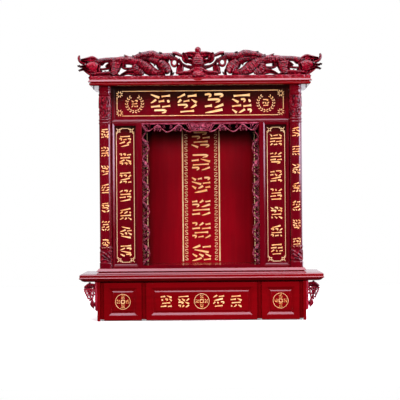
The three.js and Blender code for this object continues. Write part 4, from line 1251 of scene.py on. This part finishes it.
studio = {
    "floor": (0.86, 0.86, 0.87), "floorReach": (3.2, 2.6), "glow": 0.3,
    "sink": 0.4, "backdrop": (1.0, 1.0, 1.0),
    "ahead": (0.006, 0.006, 0.008), "behind": (1.0, 0.97, 1.03), "above": (0.5, 0.48, 0.54),
    "rise": (0.1, 0.7), "turn": (0.75, 0.97),  # where it turns to above and to behind
    "lamps": {  # what each one does: light the colours, show as a highlight, or both
        "topLamp": {"place": (0, -500, 3300), "aim": (0, -500, 0), "size": (4.4, 3.8), "power": 370,
                    "tint": (0.88, 0.83, 1), "does": ("gloss",)},
        "topFill": {"place": (0, -900, 3300), "aim": (0, -300, 0), "size": (3, 3), "power": 80,
                    "tint": (1, 0.97, 0.97), "does": ("light",)},
        "leftFill": {"place": (-1500, -4000, 1500), "aim": (0, 0, 600), "size": (1.8, 1.3),
                     "power": 165, "tint": (1, 0.97, 0.95), "does": ("light",)},
        "rightFill": {"place": (1500, -4000, 1500), "aim": (0, 0, 600), "size": (1.8, 1.3),
                      "power": 165, "tint": (1, 0.97, 0.95), "does": ("light",)},
        "lilacLamp": {"place": (3150, -900, 1360), "aim": (0, -100, 1360), "size": (1.8, 1.4),
                      "power": 110, "tint": (0.88, 0.76, 1), "does": ("light", "gloss")},
        "rimLamp": {"place": (2600, 1300, 1200), "aim": (0, -100, 700), "size": (1.6, 2.4),
                    "power": 45, "tint": (0.78, 0.76, 1), "does": ("light", "gloss")},
        "backFill": {"place": (900, 3800, 1700), "aim": (0, 0, 600), "size": (2, 2), "power": 110,
                     "tint": (1, 0.98, 0.98), "does": ("light",)},
        "leftRim": {"place": (-2600, -600, 900), "aim": (0, -100, 600), "size": (1.2, 2),
                    "power": 45, "tint": (1, 0.93, 0.95), "does": ("light",)},
    },
}


def makeStudio():
    mesh = bpy.data.meshes.new("floor")
    wide, deep = studio["floorReach"]
    mesh.from_pydata([(-wide, -deep, 0), (wide, -deep, 0), (wide, deep, 0), (-wide, deep, 0)], [],
                     [(0, 1, 2, 3)])
    floor = bpy.data.objects.new("floor", mesh)
    floor.location.z = -studio["sink"] * unit
    floor.visible_glossy = False  # the lacquer mirrors a dark room
    floor.visible_diffuse = False  # and its undersides stay dark
    paint = Finish(bpy.data.materials.new("floorPaint"))
    mesh.materials.append(paint.dress(colour=studio["floor"], rough=0.8, gloss=0.2,
                                      glow=studio["backdrop"], glowPower=studio["glow"]))
    bpy.context.scene.collection.objects.link(floor)
    floor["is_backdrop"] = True
    for name, lamp in studio["lamps"].items():
        data = bpy.data.lights.new(name, "AREA")
        data.shape = "RECTANGLE"
        data.size, data.size_y = lamp["size"]
        data.energy = lamp["power"]
        data.color = lamp["tint"]
        light = bpy.data.objects.new(name, data)
        light.location = Vector(lamp["place"]) * unit
        light.visible_glossy = "gloss" in lamp["does"]
        light.visible_diffuse = "light" in lamp["does"]
        light.rotation_mode = "QUATERNION"
        way = Vector(lamp["aim"]) - Vector(lamp["place"])
        light.rotation_quaternion = way.to_track_quat("-Z", "Y")
        bpy.context.scene.collection.objects.link(light)
    world = bpy.data.worlds.new("studio")
    bpy.context.scene.world = world
    sky = Finish(world)
    way = sky.node("ShaderNodeTexCoord", output="Generated")
    parts = sky.node("ShaderNodeSeparateXYZ", {}, {0: way})
    level = sky.blend(sky.spread(parts.part("Z"), *studio["rise"]), studio["ahead"], studio["above"])
    around = sky.blend(sky.spread(parts.part("Y"), *studio["turn"]), level, studio["behind"])
    seen = sky.node("ShaderNodeLightPath", output="Is Camera Ray")
    sky.feed(sky.tree.nodes["Background"].inputs["Color"], sky.blend(seen, around, studio["backdrop"]))
    bpy.context.scene.view_settings.view_transform = "Standard"


makeStudio()
print("studio lit")

low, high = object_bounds()
{"cad": [list(v) for v in cadBounds], "visual": [list(low), list(high)]}
